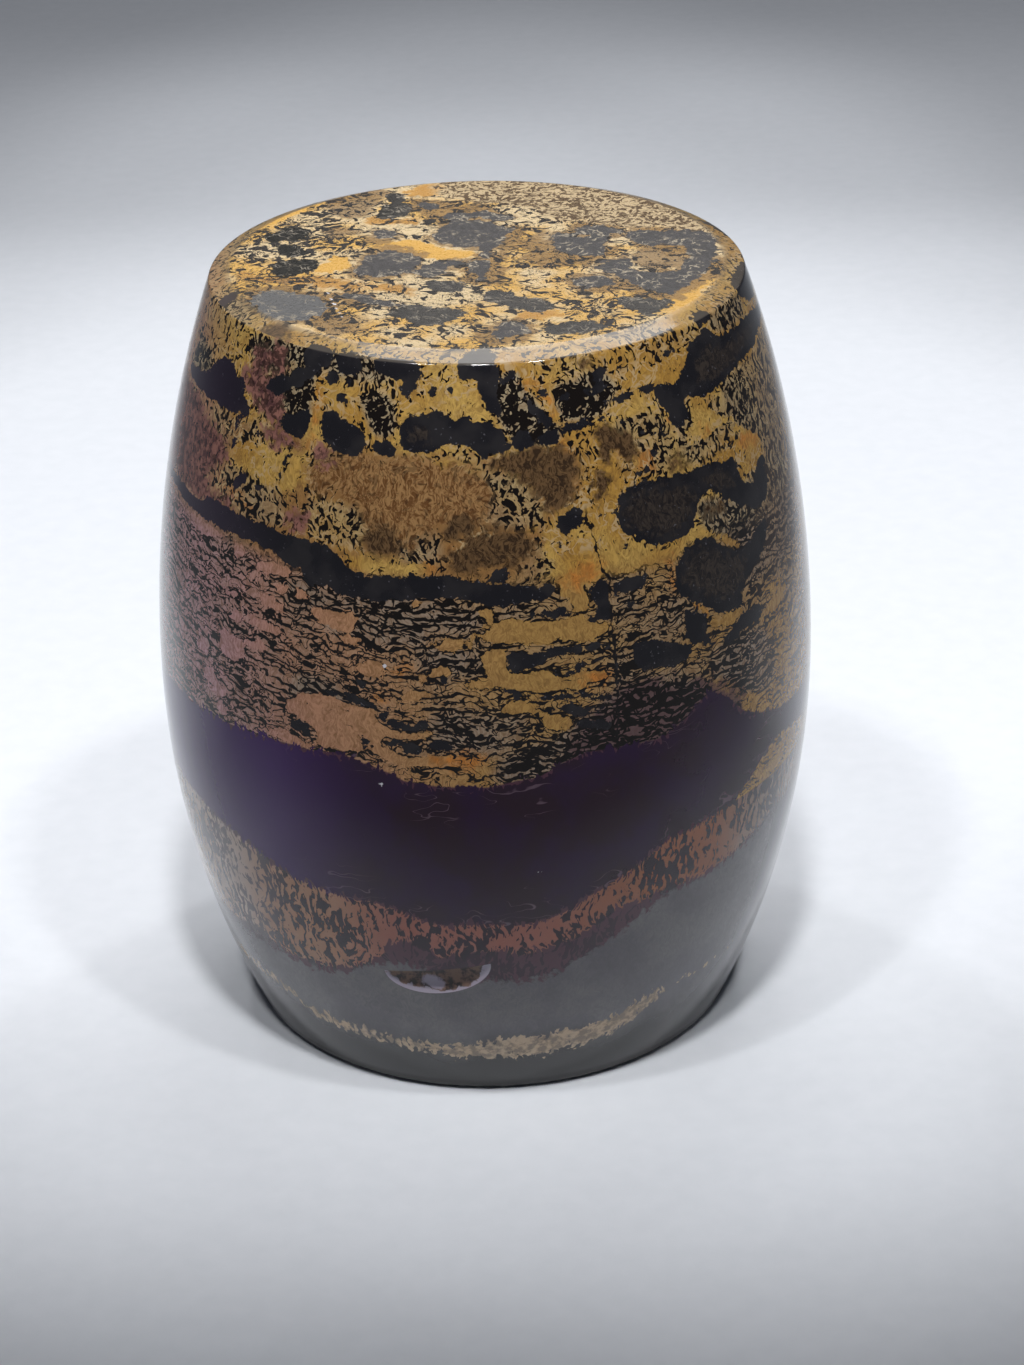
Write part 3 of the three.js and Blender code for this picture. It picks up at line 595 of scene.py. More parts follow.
# How closely specks and threads crowd: 0 is none, 1 is nearly solid
CROWDED_SIDE = [
    (0.92, [(3.4, 31.05), (5.2, 31.4), (7.2, 31.45), (8.3, 30.9), (10.2, 30.35), (13.2, 29.5), (14.7, 29.2),
            (14.5, 28.95), (10.9, 28.8), (5.3, 29.25), (3.1, 30.2)]),
    (0.9, [(15, 30.9), (18, 30.75), (21.5, 31), (23.8, 31.25), (25.4, 31.1), (26.2, 30.7), (27.2, 30.4),
           (26, 30.2), (24.5, 29.9), (22, 29.6), (18, 29.55), (15.2, 29.65), (14.8, 30.2)]),
    (0.9, [(-23.5, 30.3), (-20, 30.6), (-17, 30.35), (-16.5, 29.4), (-18.5, 29.1), (-20.5, 29.3),
           (-22.5, 30)]),
    (0.85, [(-46, 30.2), (-40, 30.7), (-36, 31.2), (-33.6, 31), (-34.6, 30), (-33.6, 29.4), (-36, 29.3),
            (-40, 29.5), (-44, 29.7)]),
    (0.8, [(-53, 31.4), (-44, 31.6), (-42, 30.7), (-47, 30.4), (-52, 30.8)]),
    (0.85, [(-46, 31.75), (-18, 31.75), (-18, 31.1), (-26, 31), (-36, 31.2), (-46, 30.9)]),
    (0.6, [(-51, 30.3), (-42, 30.4), (-41, 29.4), (-45, 28.6), (-50, 29.4)]),
    (0.8, [(-76, 30.2), (-68, 30), (-66, 29.4), (-72, 29.1), (-78, 28.9)]),
    (0.62, [(-33, 26.5), (-27, 26.5), (-22, 26.4), (-20.5, 25.8), (-22, 25), (-26, 24.9), (-32, 25.1)]),
    (0.55, [(-33, 28.3), (-20, 28.3), (-8, 28.4), (-9, 27.7), (-20, 27.8), (-31, 27.6)]),
    (0.5, [(-7, 28.9), (0, 28.6), (1.5, 27.9), (-2, 27.7), (-7, 27.8)]),
    (0.66, [(0, 27.9), (5, 27.8), (9, 27.3), (11, 26.3), (8, 25.8), (3, 26), (0, 26.2)]),
    (0.62, [(-15.5, 25.6), (-8, 26.1), (-7, 25), (-9, 24.6), (-13, 24.7), (-15, 24.9)]),
    (0.55, [(6, 24.9), (10, 25.5), (13, 24.8), (12, 24.2), (8, 24), (5.5, 24.3)]),
    (0.6, [(-55, 26.4), (-50, 26.9), (-46, 26.5), (-38, 26.5), (-36, 25.2), (-46, 25), (-52, 25.2)]),
    (0.6, [(-62, 28.5), (-52, 28.5), (-47, 28.7), (-44, 28), (-50, 27.7), (-54, 27.2), (-62, 27.7)]),
    (0.55, [(16, 29.1), (22, 29.2), (22, 28), (20, 27.5), (18, 27), (18, 28.2)]),
    (0.6, [(24, 29.4), (36, 29.2), (38, 28.3), (36, 26.9), (28, 27.1), (24.6, 27.4)]),
    (0.5, [(8, 31.75), (16, 31.75), (26, 31.75), (36, 31.75), (36, 31), (30, 30.8), (22, 31.3),
           (16, 31), (10, 31.2)]),
    (0.6, [(36, 31.6), (50, 31.6), (50, 31.1), (36, 30.95)]),
    (0.6, [(39, 29), (50, 29.2), (56, 28), (54, 27), (46, 26.8), (39, 27)]),
    (0.68, [(53, 29.2), (60, 29.5), (70, 29.5), (80, 29.7), (92, 29.3), (98, 27.5), (92, 24.5), (80, 23),
           (70, 21.8), (60, 21.4), (55, 21.6), (60, 23.4), (63, 24.6), (64, 26), (57, 27.2), (54, 28.2)]),
    (0.75, [(50, 25.2), (56, 25.4), (63, 25.6), (70, 25.6), (72, 24.6), (66, 23), (60, 22), (54, 21.5),
           (50, 21.7), (52, 23)]),
    (0.8, [(41, 25.5), (47, 25.2), (52, 24.7), (52, 23.2), (47, 23.9), (42, 24.5)]),
    (0.78, [(56, 31.7), (70, 31.7), (72, 31), (66, 30.8), (58, 30.9), (55, 31.3)]),
    (0.72, [(-35, 23.1), (-20, 23.1), (-6, 23.3), (0, 22.7), (-4, 22.2), (-12, 22.2), (-20, 22.6),
            (-34, 22.6)]),
    (0.7, [(-12, 21.4), (-4, 21.4), (-0.5, 20.9), (-1.5, 20.3), (-6, 20.5), (-11, 20.7)]),
    (0.58, [(-48, 19), (-38, 19.4), (-30, 19.6), (-28, 19.2), (-35, 18.9), (-36, 18), (-34, 17.3),
            (-40, 16.7), (-49, 16.6), (-47, 17.6)]),
    (0.76, [(-33, 19.6), (-26, 19.5), (-24, 18.3), (-30, 17.9), (-34, 18.4)]),
    (0.76, [(-27, 22.4), (-14, 22.6), (-10, 21.7), (-18, 21.4), (-27, 21.6)]),
    (0.7, [(-9, 18.7), (-2, 18.9), (6, 18.8), (6, 17.8), (2, 17.2), (-6, 17.5), (-9, 18)]),
    (0.62, [(21.8, 22.8), (27, 22.9), (33, 23.2), (34.4, 21.6), (35.4, 20.5), (30, 20.9), (25, 21.1),
            (22, 21.3)]),
    (0.66, [(21, 20.7), (24.6, 20.9), (24.8, 19.9), (30, 19.4), (36, 19.4), (40, 19.7), (44, 19.4),
            (40, 18.2), (30, 18.6), (22, 19)]),
    (0.88, [(12, 17.6), (17, 18.3), (21, 19), (27, 18.9), (34, 18.7), (38, 18.2), (40, 18.1), (36, 17.4),
            (30, 16.8), (20, 16.6), (12, 16.6)]),
    (0.75, [(4, 17.2), (14, 17.6), (14, 16.6), (8, 16), (0, 16.1)]),
    (0.75, [(40, 19.6), (46, 19.6), (52, 19.6), (56, 19), (58, 17.4), (54, 16.8), (48, 17.4),
            (42, 18.3)]),
    (0.35, [(38, 18.3), (44, 18), (48, 17), (54, 16.3), (60, 15.6), (62, 15.2), (58, 15.4), (52, 16),
            (46, 16.8)]),
    (0.6, [(-57, 16.9), (-50, 17), (-46, 16.7), (-52, 16.4), (-57, 16.4)]),
    (0.55, [(96, 31), (130, 31.4), (170, 31), (215, 31.3), (268, 31), (268, 28), (215, 27.8), (150, 28),
            (96, 27.6)]),
    (0.72, [(128, 30.4), (150, 30.6), (158, 29.4), (150, 28.6), (130, 28.9)]),
    (0.78, [(190, 30.4), (214, 30.5), (220, 29.5), (206, 28.6), (192, 28.8)]),
]
CROWDED_TOP = [
    (0.72, [(-9.6, 0.6), (-9.6, 2.6), (-8.6, 3.9), (-6, 3.2), (-4.2, 2.6), (-4.4, 1.6), (-5, 0.6),
            (-6.6, 0.8), (-8, 0.6), (-8.8, 0.2)]),
    (0.66, [(3, 4.4), (2, 6.4), (-1.4, 7.4), (-1.4, 9.4), (2, 9.6), (6, 7.6), (9, 4.2), (9.4, 2.8),
            (7, 3.2), (5, 4)]),
    (0.6, [(0.6, 4.6), (1.8, 3.4), (3, 3.4), (3.2, 4.6), (1.8, 6.2)]),
    (0.45, [(0.8, -1), (4.4, -1.2), (5, -2.2), (3.8, -3.6), (2.4, -3.6), (0.6, -3.2)]),
    (0.7, [(3.8, -4.8), (5.2, -4.7), (5.4, -5.6), (4.6, -6.4), (3.8, -5.8)]),
    (0.6, [(-5.6, -6), (-3.4, -5.2), (-2.8, -4.6), (-4.4, -4.6), (-5.8, -5)]),
    (0.5, [(2.4, -2.6), (3.8, -3.4), (3.4, -4.6), (2, -4.2), (1.2, -3.4)]),
    (0.6, [(-9.4, -2.4), (-8.2, -2.6), (-8.8, -5.4), (-8.2, -6.6), (-9.6, -4.6)]),
    (0.4, [(-3.4, -8.2), (-6, -7.4), (-7.8, -6.4), (-7, -8), (-4.6, -9.2)]),
    (0.66, [(4.6, -7.6), (6.6, -7.2), (7.4, -8), (5.4, -8.6), (3.6, -8.8)]),
    (0.7, [(-8.6, 4.6), (-6.4, 7.2), (-5.2, 6.2), (-5.8, 4.4), (-7.4, 4.2)]),
    (0.6, [(-2.6, 3.8), (-2, 5.2), (-1.2, 5), (-1.8, 3.8)]),
]

# Heights of the layers' edges by azimuth, all the way round
RIVER_TOP = [(-180, 24.9), (-150, 25.6), (-120, 25.1), (-95, 24.6), (-75, 24.7), (-70, 24.75), (-63, 24.72),
             (-60.5, 24.7), (-57, 25.1), (-54, 25.1), (-50, 25.05), (-40, 24.98), (-31, 24.9),
             (-27.5, 24.9), (-26, 24.6), (-24, 24.35), (-23, 24.1), (-20, 24), (-17, 24.05), (-13, 24.1),
             (-12, 24.25), (-10.5, 24.1), (-8, 24.25), (-5.5, 24.2), (-3, 24.05), (0, 24), (2, 23.92),
             (5, 23.82), (8, 23.75), (9.5, 23.7), (11, 23.8), (12, 23.7), (12.6, 23.2), (13, 22),
             (92, 22), (98, 23.6), (108, 24.1), (125, 24.4), (150, 24.3)]
RIVER_BOTTOM = [(-180, 24.1), (-150, 24.7), (-120, 24.2), (-95, 24), (-75, 24.3), (-66, 24.2), (-60, 24.15),
                (-50, 24.2), (-45, 24.2), (-40, 24.15), (-37, 24), (-35, 23.7), (-33, 23.9), (-32.4, 23.4),
                (-31, 23.2), (-28, 23.35), (-25, 23.1), (-21, 23.1), (-18, 23.1), (-14, 23.2), (-10, 23.3),
                (-6, 23.4), (-2, 23.25), (0, 23.1), (1, 23), (3, 22.95), (5, 23.1), (8, 23.2), (10, 23.1),
                (11, 23.2), (12, 23.6), (12.6, 23.8), (13, 24), (92, 24), (98, 23.2), (108, 23.4),
                (125, 23.7), (150, 23.6)]
PLUM_TOP = [(-180, 16.6), (-150, 17.2), (-120, 15.9), (-90, 16), (-58, 16.3), (-45, 16.45), (-35, 16.6),
            (-30, 16.6), (-25, 16.75), (-20, 16.45), (-16, 16.2), (-14, 15.95), (-8, 15.8), (0, 15.8),
            (4, 16), (8, 16.1), (12, 16.6), (16, 16.9), (20, 16.9), (25, 16.8), (30, 16.8), (34, 17.2),
            (37, 17.7), (40, 18), (43, 17.6), (46, 16.9), (49, 16.3), (53, 15.9), (60, 15.4), (75, 15),
            (90, 15.6), (120, 17.4), (150, 16.2)]
PLUM_BOTTOM = [(-180, 12.4), (-150, 12.6), (-120, 12.8), (-90, 12.4), (-75, 12.2), (-60, 11.8), (-45, 11.1),
               (-40, 10.7), (-35, 10.4), (-30, 10.3), (-25, 10.2), (-20, 10.2), (-16, 10), (-12, 9.6),
               (-8, 9.4), (-4, 9.6), (0, 9.5), (4, 9.4), (8, 9.5), (12, 9.8), (16, 10.4), (20, 10.8),
               (24, 11.3), (28, 11.8), (32, 12.3), (36, 12.3), (40, 12.5), (45, 12.6), (50, 13.2),
               (55, 14), (60, 14.3), (75, 13.6), (90, 13), (120, 12.4), (150, 11.9)]
FRINGE_BOTTOM = [(-180, 7.9), (-150, 7.4), (-120, 7.6), (-90, 6.9), (-60, 6.3), (-45, 6.1), (-35, 6.1),
                 (-28, 6.4), (-22, 7.1), (-20, 7.7), (-18.5, 8.3), (-16, 8.5), (-13, 8.4), (-11, 8),
                 (-10, 7.7), (-6, 7.7), (-4, 8), (0, 8.1), (4, 8), (8, 8), (11, 8.2), (14, 8.4), (17, 8.7),
                 (19, 9.2), (22, 9.5), (25, 9.6), (30, 9.7), (35, 9.7), (40, 9.7), (48, 10), (55, 10.4),
                 (60, 10.7), (75, 10.4), (90, 9.8), (120, 9.2), (150, 8.5)]
GREY_TOP_EDGE = [(-180, 7.7), (-150, 7.2), (-120, 7.4), (-90, 6.7), (-60, 6.1), (-45, 5.9), (-35, 5.9),
                 (-28, 6.2), (-24, 6.9), (-20, 7.2), (-15, 7.2), (-10, 6.9), (-5, 6.6), (0, 6.6), (5, 6.5),
                 (9, 6.6), (12, 6.9), (15, 7.4), (18, 7.7), (22, 8.2), (26, 8.8), (30, 9.4), (34, 9.6),
                 (40, 9.7), (48, 10), (55, 10.4), (60, 10.7), (75, 10.4), (90, 9.8), (120, 9.1),
                 (150, 8.3)]
STREAK_LINE = [(-180, 3.4), (-150, 3), (-120, 3.4), (-90, 4), (-60, 3.85), (-50, 3.75), (-46, 3.5),
               (-43, 3.05), (-35, 2.85), (-25, 2.72), (-15, 2.5), (-5, 2.5), (5, 2.7), (10, 2.6),
               (15, 2.8), (20, 2.85), (25, 3.1), (30, 3.6), (34, 4), (38, 4.2), (60, 4.6), (90, 4.4),
               (120, 3.6), (150, 3.2)]
STREAK_HALF = [(-180, 0.2), (-150, 0.05), (-120, 0.2), (-90, 0.1), (-55, 0.1), (-50, 0.14), (-45, 0.1),
               (-42, 0.08), (-35, 0.13), (-25, 0.14), (-18, 0.16), (-12, 0.16), (-6, 0.34), (0, 0.44),
               (6, 0.52), (12, 0.5), (20, 0.48), (28, 0.42), (33, 0.26), (36, -0.1), (60, -0.3), (80, -0.1),
               (100, 0.25), (130, 0.3), (155, 0.15)]
FAULT_LINE = [(14, 18.0), (16.4, 21.4), (19, 21.6), (20.6, 21.6), (21.9, 21.4), (22.6, 21.5), (23.6, 21.4),
              (24.0, 20.4), (25.0, 19.6), (25.5, 18.9), (25.9, 18.2), (26.4, 18.1), (27.1, 20.3)]

# Golden ground
GOLD_SIDE = [
    [(10.5, 33), (64, 33), (66, 28), (62, 25.4), (56, 24), (50, 22.6), (40, 21), (36, 19.8), (24, 19),
     (8, 18.6), (-1, 19.6), (-3, 21), (2, 22.6), (10, 23.4), (9.6, 25.2), (12, 26.3), (17, 26.8), (18, 28.2),
     (15, 28.9)],
    [(-55, 27), (-51, 27.9), (-44, 28.2), (-38, 28.3), (-32, 28.2), (-32.5, 27), (-38, 26.3), (-46, 26.3),
     (-52, 26.4)],
    [(-26, 24.5), (-22.5, 24.9), (-12, 24.7), (-9, 24.5), (-12, 24), (-24, 23.9)],
    [(-12, 28.6), (-2, 28.5), (1.5, 27.8), (-3, 27.7), (-11, 28)],
    [(-32, 26.4), (-26, 26.5), (-21, 26.2), (-20.5, 25.2), (-24, 24.8), (-32, 25)],
    [(8, 25.6), (-1, 27.9), (6, 28), (9.5, 27.2), (11.5, 26.3)],
    [(95, 33), (270, 33), (270, 27.9), (230, 27.6), (180, 28), (140, 27.8), (95, 28)],
    [(135, 28), (150, 28.4), (158, 27), (150, 25.8), (138, 26)],
    [(192, 28), (208, 28.4), (216, 27.4), (208, 26.2), (196, 26.2)],
]

# Dark brown-grey hearts of the widest blots
HEART_SIDE = [
    [(25.8, 26), (27, 26.5), (31, 26.55), (36, 26.4), (40.5, 26.2), (41, 25.6), (38.5, 24.9), (35, 24.65),
     (31, 24.75), (27.5, 25.1), (25.8, 25.5)],
    [(35.8, 23.3), (38, 23.8), (41, 23.9), (45, 23.3), (50, 22.8), (52, 22.3), (49, 21.5), (45, 21.3),
     (42, 21.5), (38.5, 22.2), (36, 22.6)],
    [(44, 26.4), (50, 26.2), (52, 25.5), (49, 25.3), (46, 25.7), (43, 26)],
    [(-14.5, 29.2), (-13.5, 29.7), (-11, 29.75), (-9.5, 29.5), (-9.5, 29.1), (-12, 28.9)],
    [(46, 30.2), (52, 30.9), (57, 30.5), (66, 30.4), (76, 30.4), (76, 30), (64, 29.8), (56, 29.6),
     (48, 29.5)],
    [(115, 26.5), (121, 26.8), (127, 26.5), (126, 25.9), (118, 25.7)],
]

# White specks: degrees round, millimetres up, and radius
FLECK_SIDE = [
    (8, 11.85, 0.1), (8.2, 11.6, 0.07), (12.7, 11.8, 0.08), (-24, 16.05, 0.07), (-18, 15.7, 0.11),
    (11.5, 6.05, 0.07), (-17, 20.58, 0.1), (22, 13.7, 0.06), (-14.4, 27.5, 0.09), (-11.5, 16.35, 0.07),
    (51, 23.6, 0.09), (49, 30.3, 0.07), (-22, 20.0, 0.06), (14.6, 29.25, 0.08), (30, 13.2, 0.05),
    (118, 14.4, 0.08), (171, 13.1, 0.07), (205, 22.6, 0.08), (246, 12.2, 0.07)]
# A hair scratch on the top
SCRATCH_TOP = [[(-5.8, -3.3), (-5.66, -3.3), (-5.3, -4.9), (-4.98, -6.3), (-5.08, -6.3), (-5.42, -4.9)]]
# A painted highlight in the lower middle of the chip
CHIP_HIGHLIGHT_SIDE = [[(-14, 6.1), (-13.7, 6.45), (-12, 6.6), (-9.8, 6.45), (-9, 6.15), (-11, 5.9)]]
# Fine brown lacework on the right of the back of the top
LACE_TOP = [[(3, 4.4), (2, 6.4), (-1.4, 7.4), (-1.6, 10.4), (3, 10.2), (7, 8.2), (10, 4.6), (10.3, 2.4),
             (7, 3.3), (5, 4)]]

# Each outlined marking, with its outlines on the side and on the top
OUTLINED = [
    ("oxide", OXIDE_SIDE, OXIDE_TOP), ("slate", [], GREY_TOP), ("clear", CLEAR_SIDE, CLEAR_TOP),
    ("brown", BROWN_SIDE, BROWN_TOP), ("maroon", MAROON_SIDE, []), ("dusky", DUSKY_SIDE, []),
    ("matted", MATTED_SIDE, []), ("orange", ORANGE_SIDE, ORANGE_TOP), ("gold", GOLD_SIDE, []),
    ("heart", HEART_SIDE, []), ("fleck", [], SCRATCH_TOP), ("chip_highlight", CHIP_HIGHLIGHT_SIDE, []),
    ("lace", [], LACE_TOP)]

# How closely threads and specks crowd where no patch says otherwise, as pairs of height and amount
CROWD_BY_HEIGHT = [(6, 0.3), (16, 0.5), (17, 0.56), (23.5, 0.6), (24.5, 0.4), (28, 0.38), (29, 0.34),
                   (33, 0.52)]

# Heights along the surface: where the level net takes over from the specks, where the top's ground
# starts, the two edges of the chamfer, where the gold ground needs no outline, and the plum's middle
NET_EDGE = (24.4, 23.4)
TOP_EDGE = (32.2, 32.7)
BEVEL_FOOT = (31.68, 31.76)
BEVEL_HEAD = (32.66, 32.56)
GOLD_HEIGHT = 28.5
PLUM_MIDDLE = 12.6

# The chamfer's length up its slope, and a degree round the side at its usual radius
ALONG_CHAMFER = math.hypot(CHAMFER_WIDTH, CHAMFER_HEIGHT)
DEGREE = math.radians(1) * 12.8
# How far outside an outline its depth is counted, and how much of each line a cut corner takes
REACH = 1.6
CORNER_CUT = 0.22
# Threads of the level net lie this far apart
THREAD_SPACING = 0.34


def softened(outline):
    """The outline with each corner cut once, so that it runs in curves."""
    points = []
    for (x0, y0), (x1, y1) in zip(outline, outline[1:] + outline[:1]):
        for part in (CORNER_CUT, 1 - CORNER_CUT):
            points.append(((1 - part) * x0 + part * x1, (1 - part) * y0 + part * y1))
    return points


def depth_inside(across, along, outline):
    """How deep inside an outline each point lies, in millimetres; less than zero outside."""
    nearest = np.full(len(across), 1e9)
    inside = np.zeros(len(across), bool)
    for (x0, y0), (x1, y1) in zip(outline, outline[1:] + outline[:1]):
        ex, ey = x1 - x0, y1 - y0
        t = np.clip(((across - x0) * ex + (along - y0) * ey) / (ex * ex + ey * ey + 1e-12), 0, 1)
        nearest = np.minimum(nearest, (across - x0 - t * ex) ** 2 + (along - y0 - t * ey) ** 2)
        if ey:
            inside ^= ((y0 > along) != (y1 > along)) & (across < ex * (along - y0) / ey + x0)
    return np.where(inside, 1, -1) * np.sqrt(nearest)


class Surface:
    """The stone's points laid out flat, with how deep each lies in a marking."""

    def __init__(self, mesh):
        co = np.empty(len(mesh.vertices) * 3)
        mesh.vertices.foreach_get("co", co)
        self.x, self.y, self.z = co.reshape(-1, 3).T / MM
        self.azimuth = np.degrees(np.arctan2(self.x, -self.y))
        self.out = np.hypot(self.x, self.y)
        shoulder = HEIGHT - CHAMFER_HEIGHT
        over = np.clip((TOP_RADIUS - self.out) / CHAMFER_WIDTH, 0, 1) * ALONG_CHAMFER
        inward = np.clip(TOP_RADIUS - CHAMFER_WIDTH - self.out, 0, None)
        self.flat = self.z > shoulder - 0.02
        self.along = np.where(self.flat, shoulder + over + inward, self.z)

    def round_from(self, azimuth):
        """How far round the side each point lies from an azimuth, in millimetres."""
        return ((self.azimuth - azimuth + 180) % 360 - 180) * DEGREE

    def side_depth(self, outlines):
        """The depth inside the nearest of the side's outlines."""
        deepest = np.full(len(self.x), -REACH)
        for outline in outlines:
            middle = sum(a for a, _ in outline) / len(outline)
            across = self.round_from(middle)
            points = [((a - middle) * DEGREE, h) for a, h in softened(outline)]
            spans, heights = zip(*points)
            near = (across > min(spans) - REACH) & (across < max(spans) + REACH)
            near &= (self.along > min(heights) - REACH) & (self.along < max(heights) + REACH)
            deepest[near] = np.maximum(deepest[near], depth_inside(across[near], self.along[near], points))
        return deepest

    def top_depth(self, outlines):
        """The depth inside the nearest of the top's outlines."""
        deepest = np.full(len(self.x), -REACH)
        for outline in outlines:
            depth = depth_inside(self.x[self.flat], self.y[self.flat], softened(outline))
            deepest[self.flat] = np.maximum(deepest[self.flat], depth)
        return deepest

    def level(self, edge):
        """The height of a layer's edge under each point, all the way round."""
        angles, heights = zip(*edge)
        return np.interp(self.azimuth, angles, heights, period=360)

    def band_depth(self, upper, lower):
        """The depth inside the layer between two edges."""
        return np.minimum(self.level(upper) - self.along, self.along - self.level(lower))


def crowding(surface):
    """How closely threads and specks crowd at each point, from 0 to 1."""
    crowd = np.interp(surface.along, *zip(*CROWD_BY_HEIGHT))
    for depths, rows in ((surface.side_depth, CROWDED_SIDE), (surface.top_depth, CROWDED_TOP)):
        for amount, outline in rows:
            weight = np.clip(depths([outline]) / 0.5 + 0.7, 0, 1)
            crowd += (amount - crowd) * weight
    return crowd


def mark_stone(mesh):
    """Writes every marking onto the stone's mesh as numbers at its points, and returns their names."""
    surface = Surface(mesh)
    height = surface.along
    marks = {name: np.maximum(surface.side_depth(on_side), surface.top_depth(on_top))
             for name, on_side, on_top in OUTLINED}
    marks["oxide"] = np.maximum(marks["oxide"], surface.band_depth(RIVER_TOP, RIVER_BOTTOM))
    marks["gold"] = np.clip(marks["gold"], height - GOLD_HEIGHT, 1.0)
    marks["crowd"] = crowding(surface)
    marks["plum"] = surface.band_depth(PLUM_TOP, PLUM_BOTTOM)
    marks["fringe"] = surface.band_depth(PLUM_BOTTOM, FRINGE_BOTTOM)
    marks["grey"] = surface.level(GREY_TOP_EDGE) - height
    marks["streak"] = surface.level(STREAK_HALF) - np.abs(height - surface.level(STREAK_LINE))
    for turn, level, size in FLECK_SIDE:
        fleck = size - np.hypot(surface.round_from(turn), height - level)
        marks["fleck"] = np.maximum(marks["fleck"], fleck)
    whole = np.array([side_radius(min(max(z, 0), HEIGHT - CHAMFER_HEIGHT)) for z in surface.z])
    marks["chip"] = np.where(np.abs(surface.z - CHIP_HEIGHT) < 2, whole - surface.out, 0)
    heights, angles = zip(*FAULT_LINE)
    marks["fault"] = (surface.azimuth - np.interp(height, heights, angles)) * DEGREE
    marks["height"] = height
    for name, values in marks.items():
        layer = mesh.attributes.new(name, "FLOAT", "POINT")
        layer.data.foreach_set("value", np.ascontiguousarray(values, np.float32))
    return list(marks)


MARKS = mark_stone(stone.data)


# Materials

SMOOTH = {"interpolation_type": "SMOOTHSTEP"}
UNCLAMPED = {"clamp": False}
COLOUR = {"data_type": "RGBA"}
NUMBER = {"data_type": "FLOAT"}
PLUS, MINUS, TIMES, UNSIGNED, LESSER, GREATER = (
    {"operation": name} for name in ("ADD", "SUBTRACT", "MULTIPLY", "ABSOLUTE", "MINIMUM", "MAXIMUM"))


def srgb(code):
    """An sRGB hex colour as linear red, green, blue and alpha."""
    parts = [int(code[i:i + 2], 16) / 255 for i in (1, 3, 5)]
    return tuple(p / 12.92 if p <= 0.04045 else ((p + 0.055) / 1.055) ** 2.4 for p in parts) + (1.0,)


def add(tree, kind, settings, inputs, output=0):
    """Adds a node, sets it, fills or links its inputs, and returns one of its outputs."""
    node = tree.nodes.new("ShaderNode" + kind)
    for name, value in settings.items():
        setattr(node, name, value)
    for key, value in inputs.items():
        if isinstance(value, bpy.types.NodeSocket):
            tree.links.new(value, node.inputs[key])
        else:
            node.inputs[key].default_value = value
    return node.outputs[output] if node.outputs else None


def grain_of(tree, place, size, stretch=(1, 1, 1), detail=2.0, rough=0.5, twist=0.0):
    """Mineral grain about size millimetres across, stretched along each axis, centred on 0."""
    scale = tuple(1 / (size * s) for s in stretch)
    stretched = add(tree, "Mapping", {"vector_type": "POINT"}, {0: place, 3: scale})
    cloud = add(tree, "TexNoise", {}, {0: stretched, 2: 1.0, 3: detail, 4: rough, 8: twist})
    return add(tree, "Math", MINUS, {0: cloud, 1: 0.5})


def shaken(tree, depth, *grains):
    """A depth made uneven by pairs of a grain and how many millimetres it counts for."""
    for grain, amount in grains:
        depth = add(tree, "Math", {"operation": "MULTIPLY_ADD"}, {0: grain, 1: amount, 2: depth})
    return depth


def edge_of(tree, depth, start, end, *grains):
    """A mask that rises from 0 to 1 as a depth, made uneven by grains, goes from start to end."""
    depth = shaken(tree, depth, *grains)
    return add(tree, "MapRange", SMOOTH, {0: depth, 1: start, 2: end, 3: 0.0, 4: 1.0})


def layered(tree, colour, *layers):
    """A colour with others laid over it in turn, as pairs of a mask and what it lets through."""
    for mask, over in layers:
        colour = add(tree, "Mix", COLOUR, {0: mask, 6: colour, 7: over}, 2)
    return colour


def grains_of(tree, place, bent):
    """The grains that more than one marking uses."""
    return {
        "ragged": grain_of(tree, place, 0.36, detail=4.0, rough=0.6),
        "knots": grain_of(tree, place, 0.14),
        "broad": grain_of(tree, place, 2.6, detail=3.0),
        "lumps": grain_of(tree, place, 1.1),
        "fibre": grain_of(tree, bent, 0.24, (0.7, 0.7, 1.5), 3.0, 0.6, 1.4),
        "strokes": grain_of(tree, bent, 0.2, (1, 1, 3.4)),
        "breaks": grain_of(tree, bent, 0.62, (1.7, 1.7, 0.5)),
        "web": add(tree, "Math", UNSIGNED, {0: grain_of(tree, bent, 0.46, twist=0.5)}),
    }


def tones_of(tree, grain):
    """The colours that run from one tone to another as a grain rises."""
    tones = {
        "gold": ("broad", -0.12, 0.12, "#BA8E42", "#CBA65A"),
        "matted": ("fibre", -0.1, 0.1, "#A27C50", "#6A4728"),
        "felt": ("fibre", -0.1, 0.1, "#6C5236", "#38291B"),
        "clay": ("ragged", -0.1, 0.12, "#583A39", "#93665A"),
        "cream": ("broad", -0.12, 0.1, "#D2BB93", "#CFA45A"),
        "slate": ("fibre", -0.12, 0.12, "#5A5756", "#403E3C"),
        "plum": ("broad", -0.15, 0.15, "#2C1836", "#2C1B27"),
        "base grey": ("broad", -0.15, 0.15, "#5D5A5F", "#6B696A"),
        "tan": ("ragged", -0.08, 0.1, "#80705F", "#B8A083"),
        "oxide": ("lumps", -0.1, 0.15, "#1E1D21", "#2B292B"),
        "heart": ("fibre", -0.12, 0.12, "#403832", "#242020"),
        "broken": ("ragged", -0.08, 0.08, "#3A3433", "#7B6153"),
    }
    return {name: layered(tree, srgb(first), (edge_of(tree, grain[rising], start, end), srgb(last)))
            for name, (rising, start, end, first, last) in tones.items()}


